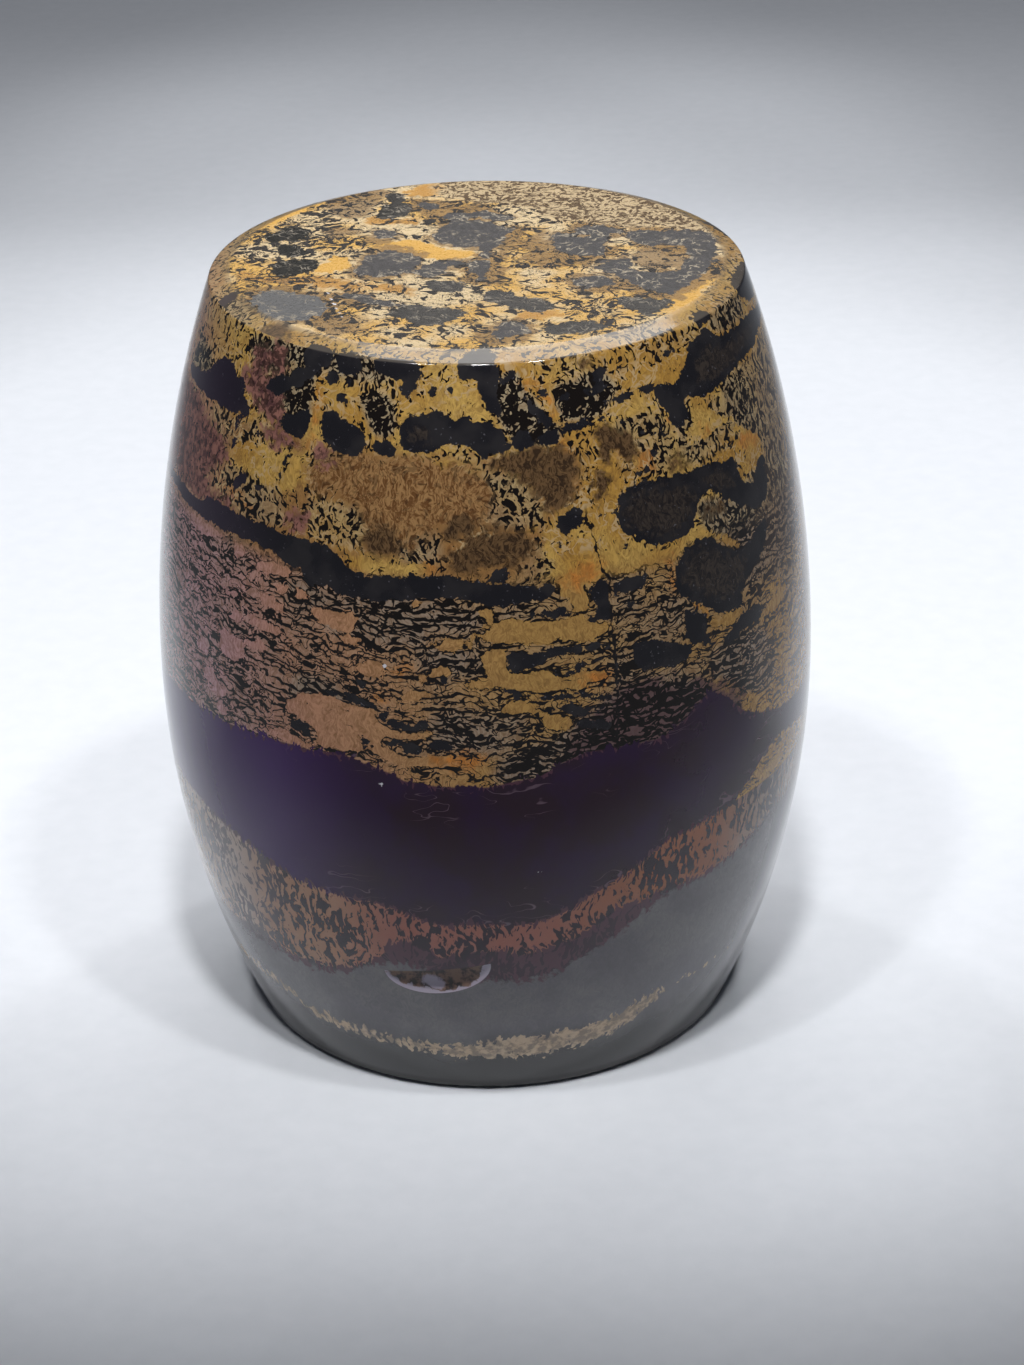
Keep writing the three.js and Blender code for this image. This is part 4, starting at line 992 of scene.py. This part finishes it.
def banded_net(tree, marks, grain, bent, west, level, crowd):
    """Long level threads of manganese, broken and knotted, with short curls between them."""
    wave = grain_of(tree, bent, 0.7, (2.0, 2.0, 0.8))
    wriggle = grain_of(tree, bent, 0.24, (1.3, 1.3, 0.8))
    dip = add(tree, "MapRange", {}, {0: west, 1: -13.0, 2: -4.0, 3: 0.0, 4: 2.2})
    level = add(tree, "Math", PLUS, {0: level, 1: dip})
    spaced = add(tree, "Math", {"operation": "DIVIDE"}, {0: level, 1: THREAD_SPACING})
    phase = shaken(tree, spaced, (wave, 3.0), (wriggle, 1.0))
    apart = add(tree, "Math", {"operation": "PINGPONG"}, {0: phase, 1: 0.5})
    apart = add(tree, "Math", TIMES, {0: apart, 1: THREAD_SPACING})
    width = add(tree, "MapRange", UNCLAMPED, {0: crowd, 1: 0.2, 2: 1.0, 3: -0.03, 4: 0.14})
    width = shaken(tree, width, (grain["breaks"], 0.4), (grain["knots"], 0.06))
    widest = add(tree, "MapRange", UNCLAMPED, {0: crowd, 1: 0.4, 2: 1.0, 3: 0.055, 4: 0.095})
    width = add(tree, "Math", LESSER, {0: width, 1: widest})
    thread = add(tree, "Math", MINUS, {0: width, 1: apart})
    curl = add(tree, "Math", UNSIGNED, {0: grain_of(tree, bent, 0.36, (1.3, 1.3, 0.8), 1.0, 0.5, 0.8)})
    reach = add(tree, "MapRange", UNCLAMPED, {0: crowd, 1: 0.2, 2: 1.0, 3: -0.01, 4: 0.09})
    reach = shaken(tree, reach, (grain["lumps"], 0.12))
    curl = add(tree, "Math", MINUS, {0: reach, 1: curl})
    rim = add(tree, "Math", UNSIGNED, {0: shaken(tree, marks["clear"], (grain["ragged"], 0.5))})
    rim = add(tree, "Math", MINUS, {0: shaken(tree, 0.015, (grain["breaks"], 0.3)), 1: rim})
    net = add(tree, "Math", GREATER, {0: thread, 1: curl})
    net = add(tree, "Math", GREATER, {0: net, 1: rim})
    return edge_of(tree, net, -0.012, 0.012)


def specks_and_dashes(tree, grain, bent, west, crowd):
    """Dots and short dashes of manganese, closing to a black web where they crowd."""
    dash = grain_of(tree, bent, 0.21, (0.9, 0.9, 1.3), 1.0, 0.5, 0.7)
    steep = grain_of(tree, bent, 0.2, (0.8, 0.8, 2.6), 2.0)
    dash = add(tree, "Mix", NUMBER, {0: edge_of(tree, west, 9.6, 11.0), 2: dash, 3: steep})
    sill = add(tree, "MapRange", UNCLAMPED, {0: crowd, 1: 0.1, 2: 1.0, 3: 0.19, 4: -0.09})
    dash = add(tree, "Math", MINUS, {0: dash, 1: sill})
    lace = add(tree, "MapRange", UNCLAMPED, {0: crowd, 1: 0.5, 2: 1.0, 3: -0.03, 4: 0.08})
    lace = add(tree, "Math", MINUS, {0: lace, 1: grain["web"]})
    return edge_of(tree, add(tree, "Math", GREATER, {0: dash, 1: lace}), -0.01, 0.01)


def side_ground(tree, marks, grain, tones, west, crowd, banded):
    """The ochre and tan ground of the side, with its brown, maroon and orange patches; and where it is
    too calm for threads."""
    # Towards the left edge the low, banded ground pales to lavender: painted reflection haze on the flank
    low = layered(tree, srgb("#BF8D72"), (edge_of(tree, west, -9.0, 2.0), srgb("#B58E50")),
                  (edge_of(tree, west, -6.5, -11.5), srgb("#C4999F")))
    golden = edge_of(tree, marks["gold"], -0.35, 0.35, (grain["ragged"], 1.6))
    high = layered(tree, srgb("#9F7748"), (golden, tones["gold"]),
                   (edge_of(tree, west, -8.8, -11.4), srgb("#B98F78")))
    packed = edge_of(tree, crowd, 0.45, 0.8)
    paler = add(tree, "Mix", COLOUR, {0: banded, 6: srgb("#AA9A7C"), 7: srgb("#9A8A7A")}, 2)
    rusty = edge_of(tree, marks["orange"], -0.25, 0.5, (grain["ragged"], 1.6))
    shade = add(tree, "MapRange", {}, {0: grain["fibre"], 1: -0.14, 2: 0.12, 3: 0.6, 4: 0.0})
    pale = edge_of(tree, grain["web"], 0.045, 0.02)
    pale = add(tree, "Math", TIMES, {0: pale, 1: edge_of(tree, marks["height"], 24.6, 25.0)})
    pale = add(tree, "Math", TIMES, {0: pale, 1: edge_of(tree, grain["lumps"], -0.1, 0.1)})
    matted = edge_of(tree, marks["matted"], -0.35, 0.25, (grain["ragged"], 1.9), (grain["lumps"], 1.2))
    brown = edge_of(tree, marks["brown"], -0.25, 0.25, (grain["ragged"], 1.8))
    maroon = edge_of(tree, marks["maroon"], -0.2, 0.2, (grain["ragged"], 1.8))
    dusky = edge_of(tree, marks["dusky"], -0.5, 0.3, (grain["ragged"], 1.6), (grain["lumps"], 1.4))
    dusky = add(tree, "Math", TIMES, {0: dusky, 1: 0.85})
    ground = layered(
        tree, high, (banded, low), (packed, paler), (rusty, srgb("#CC843C")), (shade, srgb("#6B4A2A")),
        (pale, srgb("#BC9F73")), (matted, tones["matted"]), (brown, tones["felt"]),
        (maroon, tones["clay"]), (dusky, srgb("#5A4247")))
    maroon = add(tree, "Math", TIMES, {0: maroon, 1: 0.4})
    calm = add(tree, "Math", GREATER, {0: brown, 1: maroon})
    matted = add(tree, "Math", TIMES, {0: matted, 1: 0.7})
    return ground, add(tree, "Math", GREATER, {0: calm, 1: matted})


def top_ground(tree, marks, grain, tones, bent, west, crowd):
    """The top: cream and yellow ground under worm-like dark lines, with slate-grey blots and brown
    haloes."""
    clear = edge_of(tree, marks["clear"], -0.06, 0.06, (grain["ragged"], 1.5), (grain["lumps"], 1.0))
    rusty = edge_of(tree, marks["orange"], -0.3, 0.3, (grain["lumps"], 2.0), (grain["ragged"], 1.4))
    blot = shaken(tree, marks["slate"], (grain["lumps"], 1.1), (grain["ragged"], 0.8))
    halo = add(tree, "Math", GREATER, {
        0: edge_of(tree, blot, -0.6, -0.3, (grain["broad"], 2.6), (grain["ragged"], 0.8)),
        1: edge_of(tree, marks["brown"], -0.3, 0.2, (grain["lumps"], 2.0))})
    halo = add(tree, "Math", TIMES, {0: halo, 1: 0.8})
    laced = edge_of(tree, marks["lace"], -0.4, 0.4, (grain["lumps"], 2.0))
    sill = add(tree, "MapRange", UNCLAMPED, {0: crowd, 1: 0.3, 2: 1.0, 3: 0.12, 4: -0.09})
    bare = add(tree, "Math", TIMES, {0: clear, 1: 0.12})
    sill = add(tree, "Math", PLUS, {0: sill, 1: bare})
    lines = add(tree, "Math", MINUS, {0: grain_of(tree, bent, 0.4, twist=0.9), 1: sill})
    thin = add(tree, "MapRange", UNCLAMPED, {0: crowd, 1: 0.2, 2: 1.0, 3: -0.01, 4: 0.06})
    thin = shaken(tree, thin, (grain["breaks"], 0.12))
    curl = add(tree, "Math", UNSIGNED, {0: grain_of(tree, bent, 0.36, twist=1.2)})
    thin = add(tree, "Math", MINUS, {0: thin, 1: curl})
    lines = add(tree, "Math", GREATER, {0: lines, 1: thin})
    lines = add(tree, "Mix", NUMBER, {0: laced, 2: lines, 3: grain_of(tree, bent, 0.24, twist=1.0)})
    lines = edge_of(tree, lines, -0.012, 0.012)
    dark = add(tree, "Mix", COLOUR, {0: laced, 6: srgb("#35312D"), 7: srgb("#5E4C37")}, 2)
    vein = edge_of(tree, grain["web"], 0.028, 0.008)
    vein = add(tree, "Math", TIMES, {0: vein, 1: edge_of(tree, grain["lumps"], -0.06, 0.04)})
    slate = layered(tree, tones["slate"], (edge_of(tree, west, -4.8, -5.8), srgb("#646362")),
                    (vein, srgb("#A89C88")))
    charcoal = layered(tree, srgb("#26241F"), (edge_of(tree, west, -4.6, -2.0), srgb("#474440")),
                       (vein, srgb("#91887A")))
    black = edge_of(tree, marks["oxide"], -0.025, 0.025, (grain["lumps"], 1.1), (grain["ragged"], 0.9))
    return layered(
        tree, tones["cream"], (clear, srgb("#D2A455")), (rusty, srgb("#B78A4C")), (halo, srgb("#866B4A")),
        (laced, srgb("#BCA682")), (lines, dark), (edge_of(tree, blot, -0.025, 0.025), slate),
        (black, charcoal))


def lower_layers(tree, marks, grain, tones, bent, west, colour):
    """The plum band with its stroked pink fringe, and the grey base with its tan streak, laid over a
    colour."""
    stroke = edge_of(tree, grain["strokes"], -0.01, 0.03, (grain["broad"], -0.5))
    # Towards the left edge the fringe pales to grey and its strokes lighten: painted reflection at the rim
    pink = layered(
        tree, srgb("#A1795F"), (edge_of(tree, west, -7.0, -3.5), srgb("#965F52")),
        (edge_of(tree, west, -8.6, -10.4), srgb("#AE9A8C")), (edge_of(tree, west, 1.0, 6.0), srgb("#905C42")),
        (edge_of(tree, west, 8.5, 11.0), srgb("#8A7768")))
    left = edge_of(tree, west, -7.5, -10.2)
    inked = add(tree, "Mix", COLOUR, {0: left, 6: srgb("#2B1F2A"), 7: srgb("#584C50")}, 2)
    fringe = add(tree, "Mix", COLOUR, {0: stroke, 6: pink, 7: inked}, 2)
    low = edge_of(tree, marks["fringe"], -0.04, 0.04, (grain["strokes"], 1.6), (grain["ragged"], 0.5))
    lower = layered(tree, srgb("#50323F"), (stroke, srgb("#35212F")), (low, fringe))
    beneath = add(tree, "Math", MINUS, {0: PLUM_MIDDLE, 1: marks["height"]})
    beneath = add(tree, "Math", GREATER, {0: marks["plum"], 1: beneath})
    wisp = add(tree, "Math", UNSIGNED, {0: grain_of(tree, bent, 0.8, (2.4, 2.4, 0.7), 1.0)})
    wisp = edge_of(tree, wisp, 0.01, 0.0, (marks["plum"], 0.008), (grain["broad"], -0.08))
    # Towards the left the plum turns violet: painted reflection, the haze the flank picks up there
    deep = layered(tree, tones["plum"], (wisp, srgb("#5E4B57")),
                   (edge_of(tree, west, -4.0, -9.0), srgb("#3B1C58")))
    plum = edge_of(tree, marks["plum"], -0.04, 0.06, (grain["strokes"], 1.1), (grain["ragged"], 0.8))
    cloud = add(tree, "MapRange", {}, {0: grain["fibre"], 1: -0.16, 2: 0.16, 3: 0.45, 4: 0.0})
    # The grey base darkens towards its bottom edge: painted shade where it meets the board
    foot = edge_of(tree, marks["height"], 4.0, 1.4, (grain["broad"], 2.0))
    base = layered(tree, tones["base grey"], (cloud, srgb("#4A484C")), (foot, srgb("#252322")))
    grey = edge_of(tree, marks["grey"], -0.1, 0.2, (grain["ragged"], 1.2), (grain["strokes"], 0.8))
    streak = edge_of(tree, marks["streak"], -0.1, -0.03, (grain["strokes"], 1.5), (grain["ragged"], 0.5))
    return layered(tree, colour, (edge_of(tree, beneath, -0.05, 0.05), lower), (plum, deep), (grey, base),
                   (streak, tones["tan"]))


def oxide_blots(tree, marks, grain, tones, west, behind, colour):
    """Solid manganese oxide with a crisp, slightly ragged edge, more uneven round the back. It is
    brown-grey in the heart of the widest blots and specked with pale dust. Painted reflection turns it violet
    at the far left."""
    uneven = add(tree, "MapRange", {}, {0: behind, 1: 1.0, 2: 4.0, 3: 0.0, 4: 2.2})
    uneven = add(tree, "Math", TIMES, {0: uneven, 1: grain["lumps"]})
    oxide = edge_of(tree, marks["oxide"], -0.015, 0.015, (grain["ragged"], 0.6), (grain["knots"], 0.1),
                    (uneven, 1.0))
    heart = edge_of(tree, marks["heart"], -0.1, 0.3, (grain["ragged"], 1.6))
    dust = edge_of(tree, grain["knots"], 0.19, 0.23)
    # Violet at the far left is painted reflection on the dark blots
    violet = edge_of(tree, west, -7.0, -12.5)
    black = layered(tree, tones["oxide"], (heart, tones["heart"]), (dust, srgb("#57555A")),
                    (violet, srgb("#35293B")))
    return add(tree, "Mix", COLOUR, {0: oxide, 6: colour, 7: black}, 2)


def fault_line(tree, marks, grain, colour):
    """A dark hairline down the small fault on the right."""
    hair = add(tree, "Math", UNSIGNED, {0: shaken(tree, marks["fault"], (grain["ragged"], 0.4))})
    hair = add(tree, "Math", MINUS, {0: shaken(tree, 0.04, (grain["breaks"], 0.2)), 1: hair})
    hair = edge_of(tree, hair, -0.015, 0.015)
    for start, end in ((16.5, 17.0), (26.6, 26.0)):
        hair = add(tree, "Math", TIMES, {0: hair, 1: edge_of(tree, marks["height"], start, end)})
    return add(tree, "Mix", COLOUR, {0: hair, 6: colour, 7: srgb("#1B1716")}, 2)


def chip_scar(tree, marks, grain, tones, colour):
    """Bare broken stone inside the chip with a painted highlight in its lower middle, and the thin shattered
    lip under it; and where the chip is.
    """
    inside = edge_of(tree, marks["chip"], 0.005, 0.02)
    # The pale patch in the lower middle of the chip is a painted highlight
    chip_glint = edge_of(tree, marks["chip_highlight"], -0.05, 0.1, (grain["ragged"], 0.6))
    broken = add(tree, "Mix", COLOUR, {0: chip_glint, 6: tones["broken"], 7: srgb("#A79FAE")}, 2)
    lip = edge_of(tree, marks["chip"], 0.085, 0.05, (grain["ragged"], 0.3), (grain["lumps"], 0.2))
    lip = add(tree, "Math", TIMES, {0: inside, 1: lip})
    return layered(tree, colour, (inside, broken), (lip, srgb("#A59DAB"))), inside


def place_of(tree):
    """Each point's place on the object in millimetres."""
    metres = add(tree, "TexCoord", {}, {}, 3)
    return add(tree, "VectorMath", {"operation": "SCALE"}, {0: metres, 3: 1 / MM})


def polished_picture_jasper():
    """Picture jasper: an opaque, fine quartz stone, tumbled and buffed to a wet shine. Ochre ground holds
    black manganese threads and blots, over a plum band and a grey base."""
    material = bpy.data.materials.new("polished_picture_jasper")
    material.use_nodes = True
    tree = material.node_tree
    tree.nodes.clear()
    marks = {name: add(tree, "Attribute", {"attribute_type": "GEOMETRY", "attribute_name": name}, {}, 2)
             for name in MARKS}
    place = place_of(tree)
    drift = add(tree, "TexNoise", {}, {0: place, 2: 0.8, 3: 2.0, 4: 0.5}, 1)
    drift = add(tree, "VectorMath", MINUS, {0: drift, 1: (0.5, 0.5, 0.5)})
    drift = add(tree, "VectorMath", TIMES, {0: drift, 1: (1.1, 1.1, 0.7)})
    bent = add(tree, "VectorMath", PLUS, {0: place, 1: drift})
    west, behind = (add(tree, "SeparateXYZ", {}, {0: place}, axis) for axis in (0, 1))
    level = add(tree, "SeparateXYZ", {}, {0: bent}, 2)
    grain = grains_of(tree, place, bent)
    tones = tones_of(tree, grain)
    flat = edge_of(tree, marks["height"], *TOP_EDGE)
    banded = edge_of(tree, marks["height"], *NET_EDGE)
    bare = edge_of(tree, marks["clear"], -0.06, 0.06, (grain["ragged"], 0.6))
    crowd = shaken(tree, marks["crowd"], (grain["broad"], 0.4))
    crowd = add(tree, "Mix", NUMBER, {0: bare, 2: crowd, 3: 0.08})

    colour, quiet = side_ground(tree, marks, grain, tones, west, crowd, banded)
    net = banded_net(tree, marks, grain, bent, west, level, crowd)
    specks = specks_and_dashes(tree, grain, bent, west, crowd)
    threads = add(tree, "Mix", NUMBER, {0: banded, 2: specks, 3: net})
    kept = add(tree, "MapRange", {}, {0: quiet, 1: 0.0, 2: 1.0, 3: 1.0, 4: 0.15})
    threads = add(tree, "Math", TIMES, {0: threads, 1: kept})
    right = edge_of(tree, west, 9.8, 11.6)
    manganese = add(tree, "Mix", COLOUR, {0: right, 6: srgb("#17120F"), 7: srgb("#39291F")}, 2)
    colour = add(tree, "Mix", COLOUR, {0: threads, 6: colour, 7: manganese}, 2)
    colour = lower_layers(tree, marks, grain, tones, bent, west, colour)
    colour = oxide_blots(tree, marks, grain, tones, west, behind, colour)
    colour = fault_line(tree, marks, grain, colour)
    # A grey-brown wash over the chamfer band: painted sheen, greying it as the glint off the softbox does
    chamfer_painted_sheen = edge_of(tree, marks["height"], *BEVEL_FOOT)
    chamfer_painted_sheen = add(tree, "Math", TIMES, {0: chamfer_painted_sheen, 1: edge_of(tree, marks["height"], *BEVEL_HEAD)})
    chamfer_painted_sheen = add(tree, "Math", TIMES, {0: chamfer_painted_sheen, 1: 0.3})
    top = top_ground(tree, marks, grain, tones, bent, west, crowd)
    colour = layered(tree, colour, (flat, top), (chamfer_painted_sheen, srgb("#7D7468")))
    colour, scar = chip_scar(tree, marks, grain, tones, colour)
    fleck = edge_of(tree, marks["fleck"], -0.01, 0.02, (grain["knots"], 0.15))
    colour = add(tree, "Mix", COLOUR, {0: fleck, 6: colour, 7: srgb("#D8D6DC")}, 2)

    buffed = add(tree, "MapRange", {}, {0: grain["ragged"], 1: -0.2, 2: 0.2, 3: 0.06, 4: 0.12})
    satin = add(tree, "MapRange", {}, {0: grain["fibre"], 1: -0.2, 2: 0.2, 3: 0.22, 4: 0.36})
    gloss = add(tree, "Mix", NUMBER, {0: flat, 2: buffed, 3: satin})
    gloss = add(tree, "Mix", NUMBER, {0: scar, 2: gloss, 3: 0.5})
    # The pits that polishing leaves are finer than this, too fine to show, so they are drawn coarser
    pits = grain_of(tree, place, 0.12)
    relief = add(tree, "Bump", {}, {0: 0.1, 1: 0.00002, 3: pits})
    shader = add(tree, "BsdfPrincipled", {}, {
        "Base Color": colour, "Roughness": gloss, "IOR": 1.54, "Normal": relief})
    add(tree, "OutputMaterial", {}, {0: shader})
    return material


stone.data.materials.clear()
stone.data.materials.append(polished_picture_jasper())
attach(stone, "root")
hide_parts("barrel_stone")


# Floor, light and camera

def matt_board():
    """Matt white board: pressed paper, pale and even. Its tooth is finer than the 1 mm drawn here,
    and too fine to show."""
    material = bpy.data.materials.new("matt_white_board")
    material.use_nodes = True
    tree = material.node_tree
    tree.nodes.clear()
    tooth = add(tree, "TexNoise", {}, {0: place_of(tree), 2: 0.9, 3: 3.0})
    shade = add(tree, "Mix", COLOUR, {0: tooth, 6: srgb("#E2E6EC"), 7: srgb("#EBEEF4")}, 2)
    shader = add(tree, "BsdfPrincipled", {}, {"Base Color": shade, "Roughness": 0.75})
    add(tree, "OutputMaterial", {}, {0: shader})
    return material


def pale_floor():
    """The board that the stone stands on, three metres across."""
    shape = bmesh.new()
    bmesh.ops.create_grid(shape, x_segments=1, y_segments=1, size=1.5)
    mesh = bpy.data.meshes.new("floor")
    shape.to_mesh(mesh)
    shape.free()
    floor = bpy.data.objects.new("floor", mesh)
    bpy.context.scene.collection.objects.link(floor)
    mesh.materials.append(matt_board())


def lamp(name, kind, place, target, power, settings, narrow=1.0):
    """A light at a place in millimetres, turned to its target. Narrow makes a spot's pool an oval."""
    light = bpy.data.lights.new(name, kind)
    light.energy = power
    for key, value in settings.items():
        setattr(light, key, value)
    holder = bpy.data.objects.new(name, light)
    bpy.context.scene.collection.objects.link(holder)
    holder.location = Vector(place) * MM
    holder.rotation_euler = (Vector(target) - Vector(place)).to_track_quat("-Z", "Y").to_euler()
    holder.scale = (narrow, 1, 1)


pale_floor()

# Three soft lamps in front and two weaker ones behind share one oval pool of light round the stone.
# Each row is a lamp's place to the right, its place to the back, and its power.
POOL_LAMPS = ((-52, -68, 0.42), (0, -88, 0.8), (52, -68, 0.42), (-70, 92, 0.27), (70, 92, 0.27))
POOL_HEIGHT = 200
POOL_CENTRE = (0, 42, 0)
POOL_LENGTH = 74.5
POOL_SHAPE = 0.61
for right_by, back_by, power in POOL_LAMPS:
    spot = (right_by, back_by, POOL_HEIGHT)
    opening = 2 * math.atan(POOL_LENGTH / math.dist(spot, POOL_CENTRE))
    lamp("pool_lamp", "SPOT", spot, POOL_CENTRE, power,
         {"spot_size": opening, "spot_blend": 0.1, "shadow_soft_size": 9 * MM}, POOL_SHAPE)
# Two more brighten the board out to the sides, which the polished flanks mirror
SIDE_HEIGHT = 190
SIDE_POOL_RADIUS = 19
for side in (-50, 50):
    lamp("side_lamp", "SPOT", (side, 16, SIDE_HEIGHT), (side, 16, 0), 0.31,
         {"spot_size": 2 * math.atan(SIDE_POOL_RADIUS / SIDE_HEIGHT), "spot_blend": 0.35,
          "shadow_soft_size": 4 * MM})
# A round softbox behind glances off the chamfer
lamp("softbox_behind", "AREA", (14, 115, 182), (0, -9, 32), 0.12, {"shape": "DISK", "size": 120 * MM})

world = bpy.data.worlds.new("dim_room")
bpy.context.scene.world = world
world.use_nodes = True
world.node_tree.nodes["Background"].inputs[0].default_value = srgb("#8A8F9C")
world.node_tree.nodes["Background"].inputs[1].default_value = 0.2

# The camera, fitted to the outline of the stone; its place is in millimetres and its turns in degrees
CAMERA_PLACE = (0.0, -121.62, 75.51)
CAMERA_PITCH = 27.0625
CAMERA_YAW = 0.4884
CAMERA_ROLL = -1.2276
FOCAL_PIXELS = 3273.7
FRAME_HEIGHT = 1365
SENSOR_HEIGHT = 36

pitch, yaw, roll = (math.radians(a) for a in (CAMERA_PITCH, CAMERA_YAW, CAMERA_ROLL))
forward = Vector((math.sin(yaw) * math.cos(pitch), math.cos(yaw) * math.cos(pitch), -math.sin(pitch)))
right = Vector((math.cos(yaw), -math.sin(yaw), 0))
up = right.cross(forward)
right, up = (math.cos(roll) * right + math.sin(roll) * up, -math.sin(roll) * right + math.cos(roll) * up)

lens = bpy.data.cameras.new("camera")
lens.sensor_fit = "VERTICAL"
lens.sensor_height = SENSOR_HEIGHT
lens.lens = SENSOR_HEIGHT * FOCAL_PIXELS / FRAME_HEIGHT
lens.clip_start = 0.002
lens.clip_end = 10
camera = bpy.data.objects.new("camera", lens)
bpy.context.scene.collection.objects.link(camera)
camera.matrix_world = Matrix((
    (right.x, up.x, -forward.x, CAMERA_PLACE[0] * MM),
    (right.y, up.y, -forward.y, CAMERA_PLACE[1] * MM),
    (right.z, up.z, -forward.z, CAMERA_PLACE[2] * MM),
    (0, 0, 0, 1)))
bpy.context.scene.camera = camera
bpy.context.scene.view_settings.view_transform = "Standard"
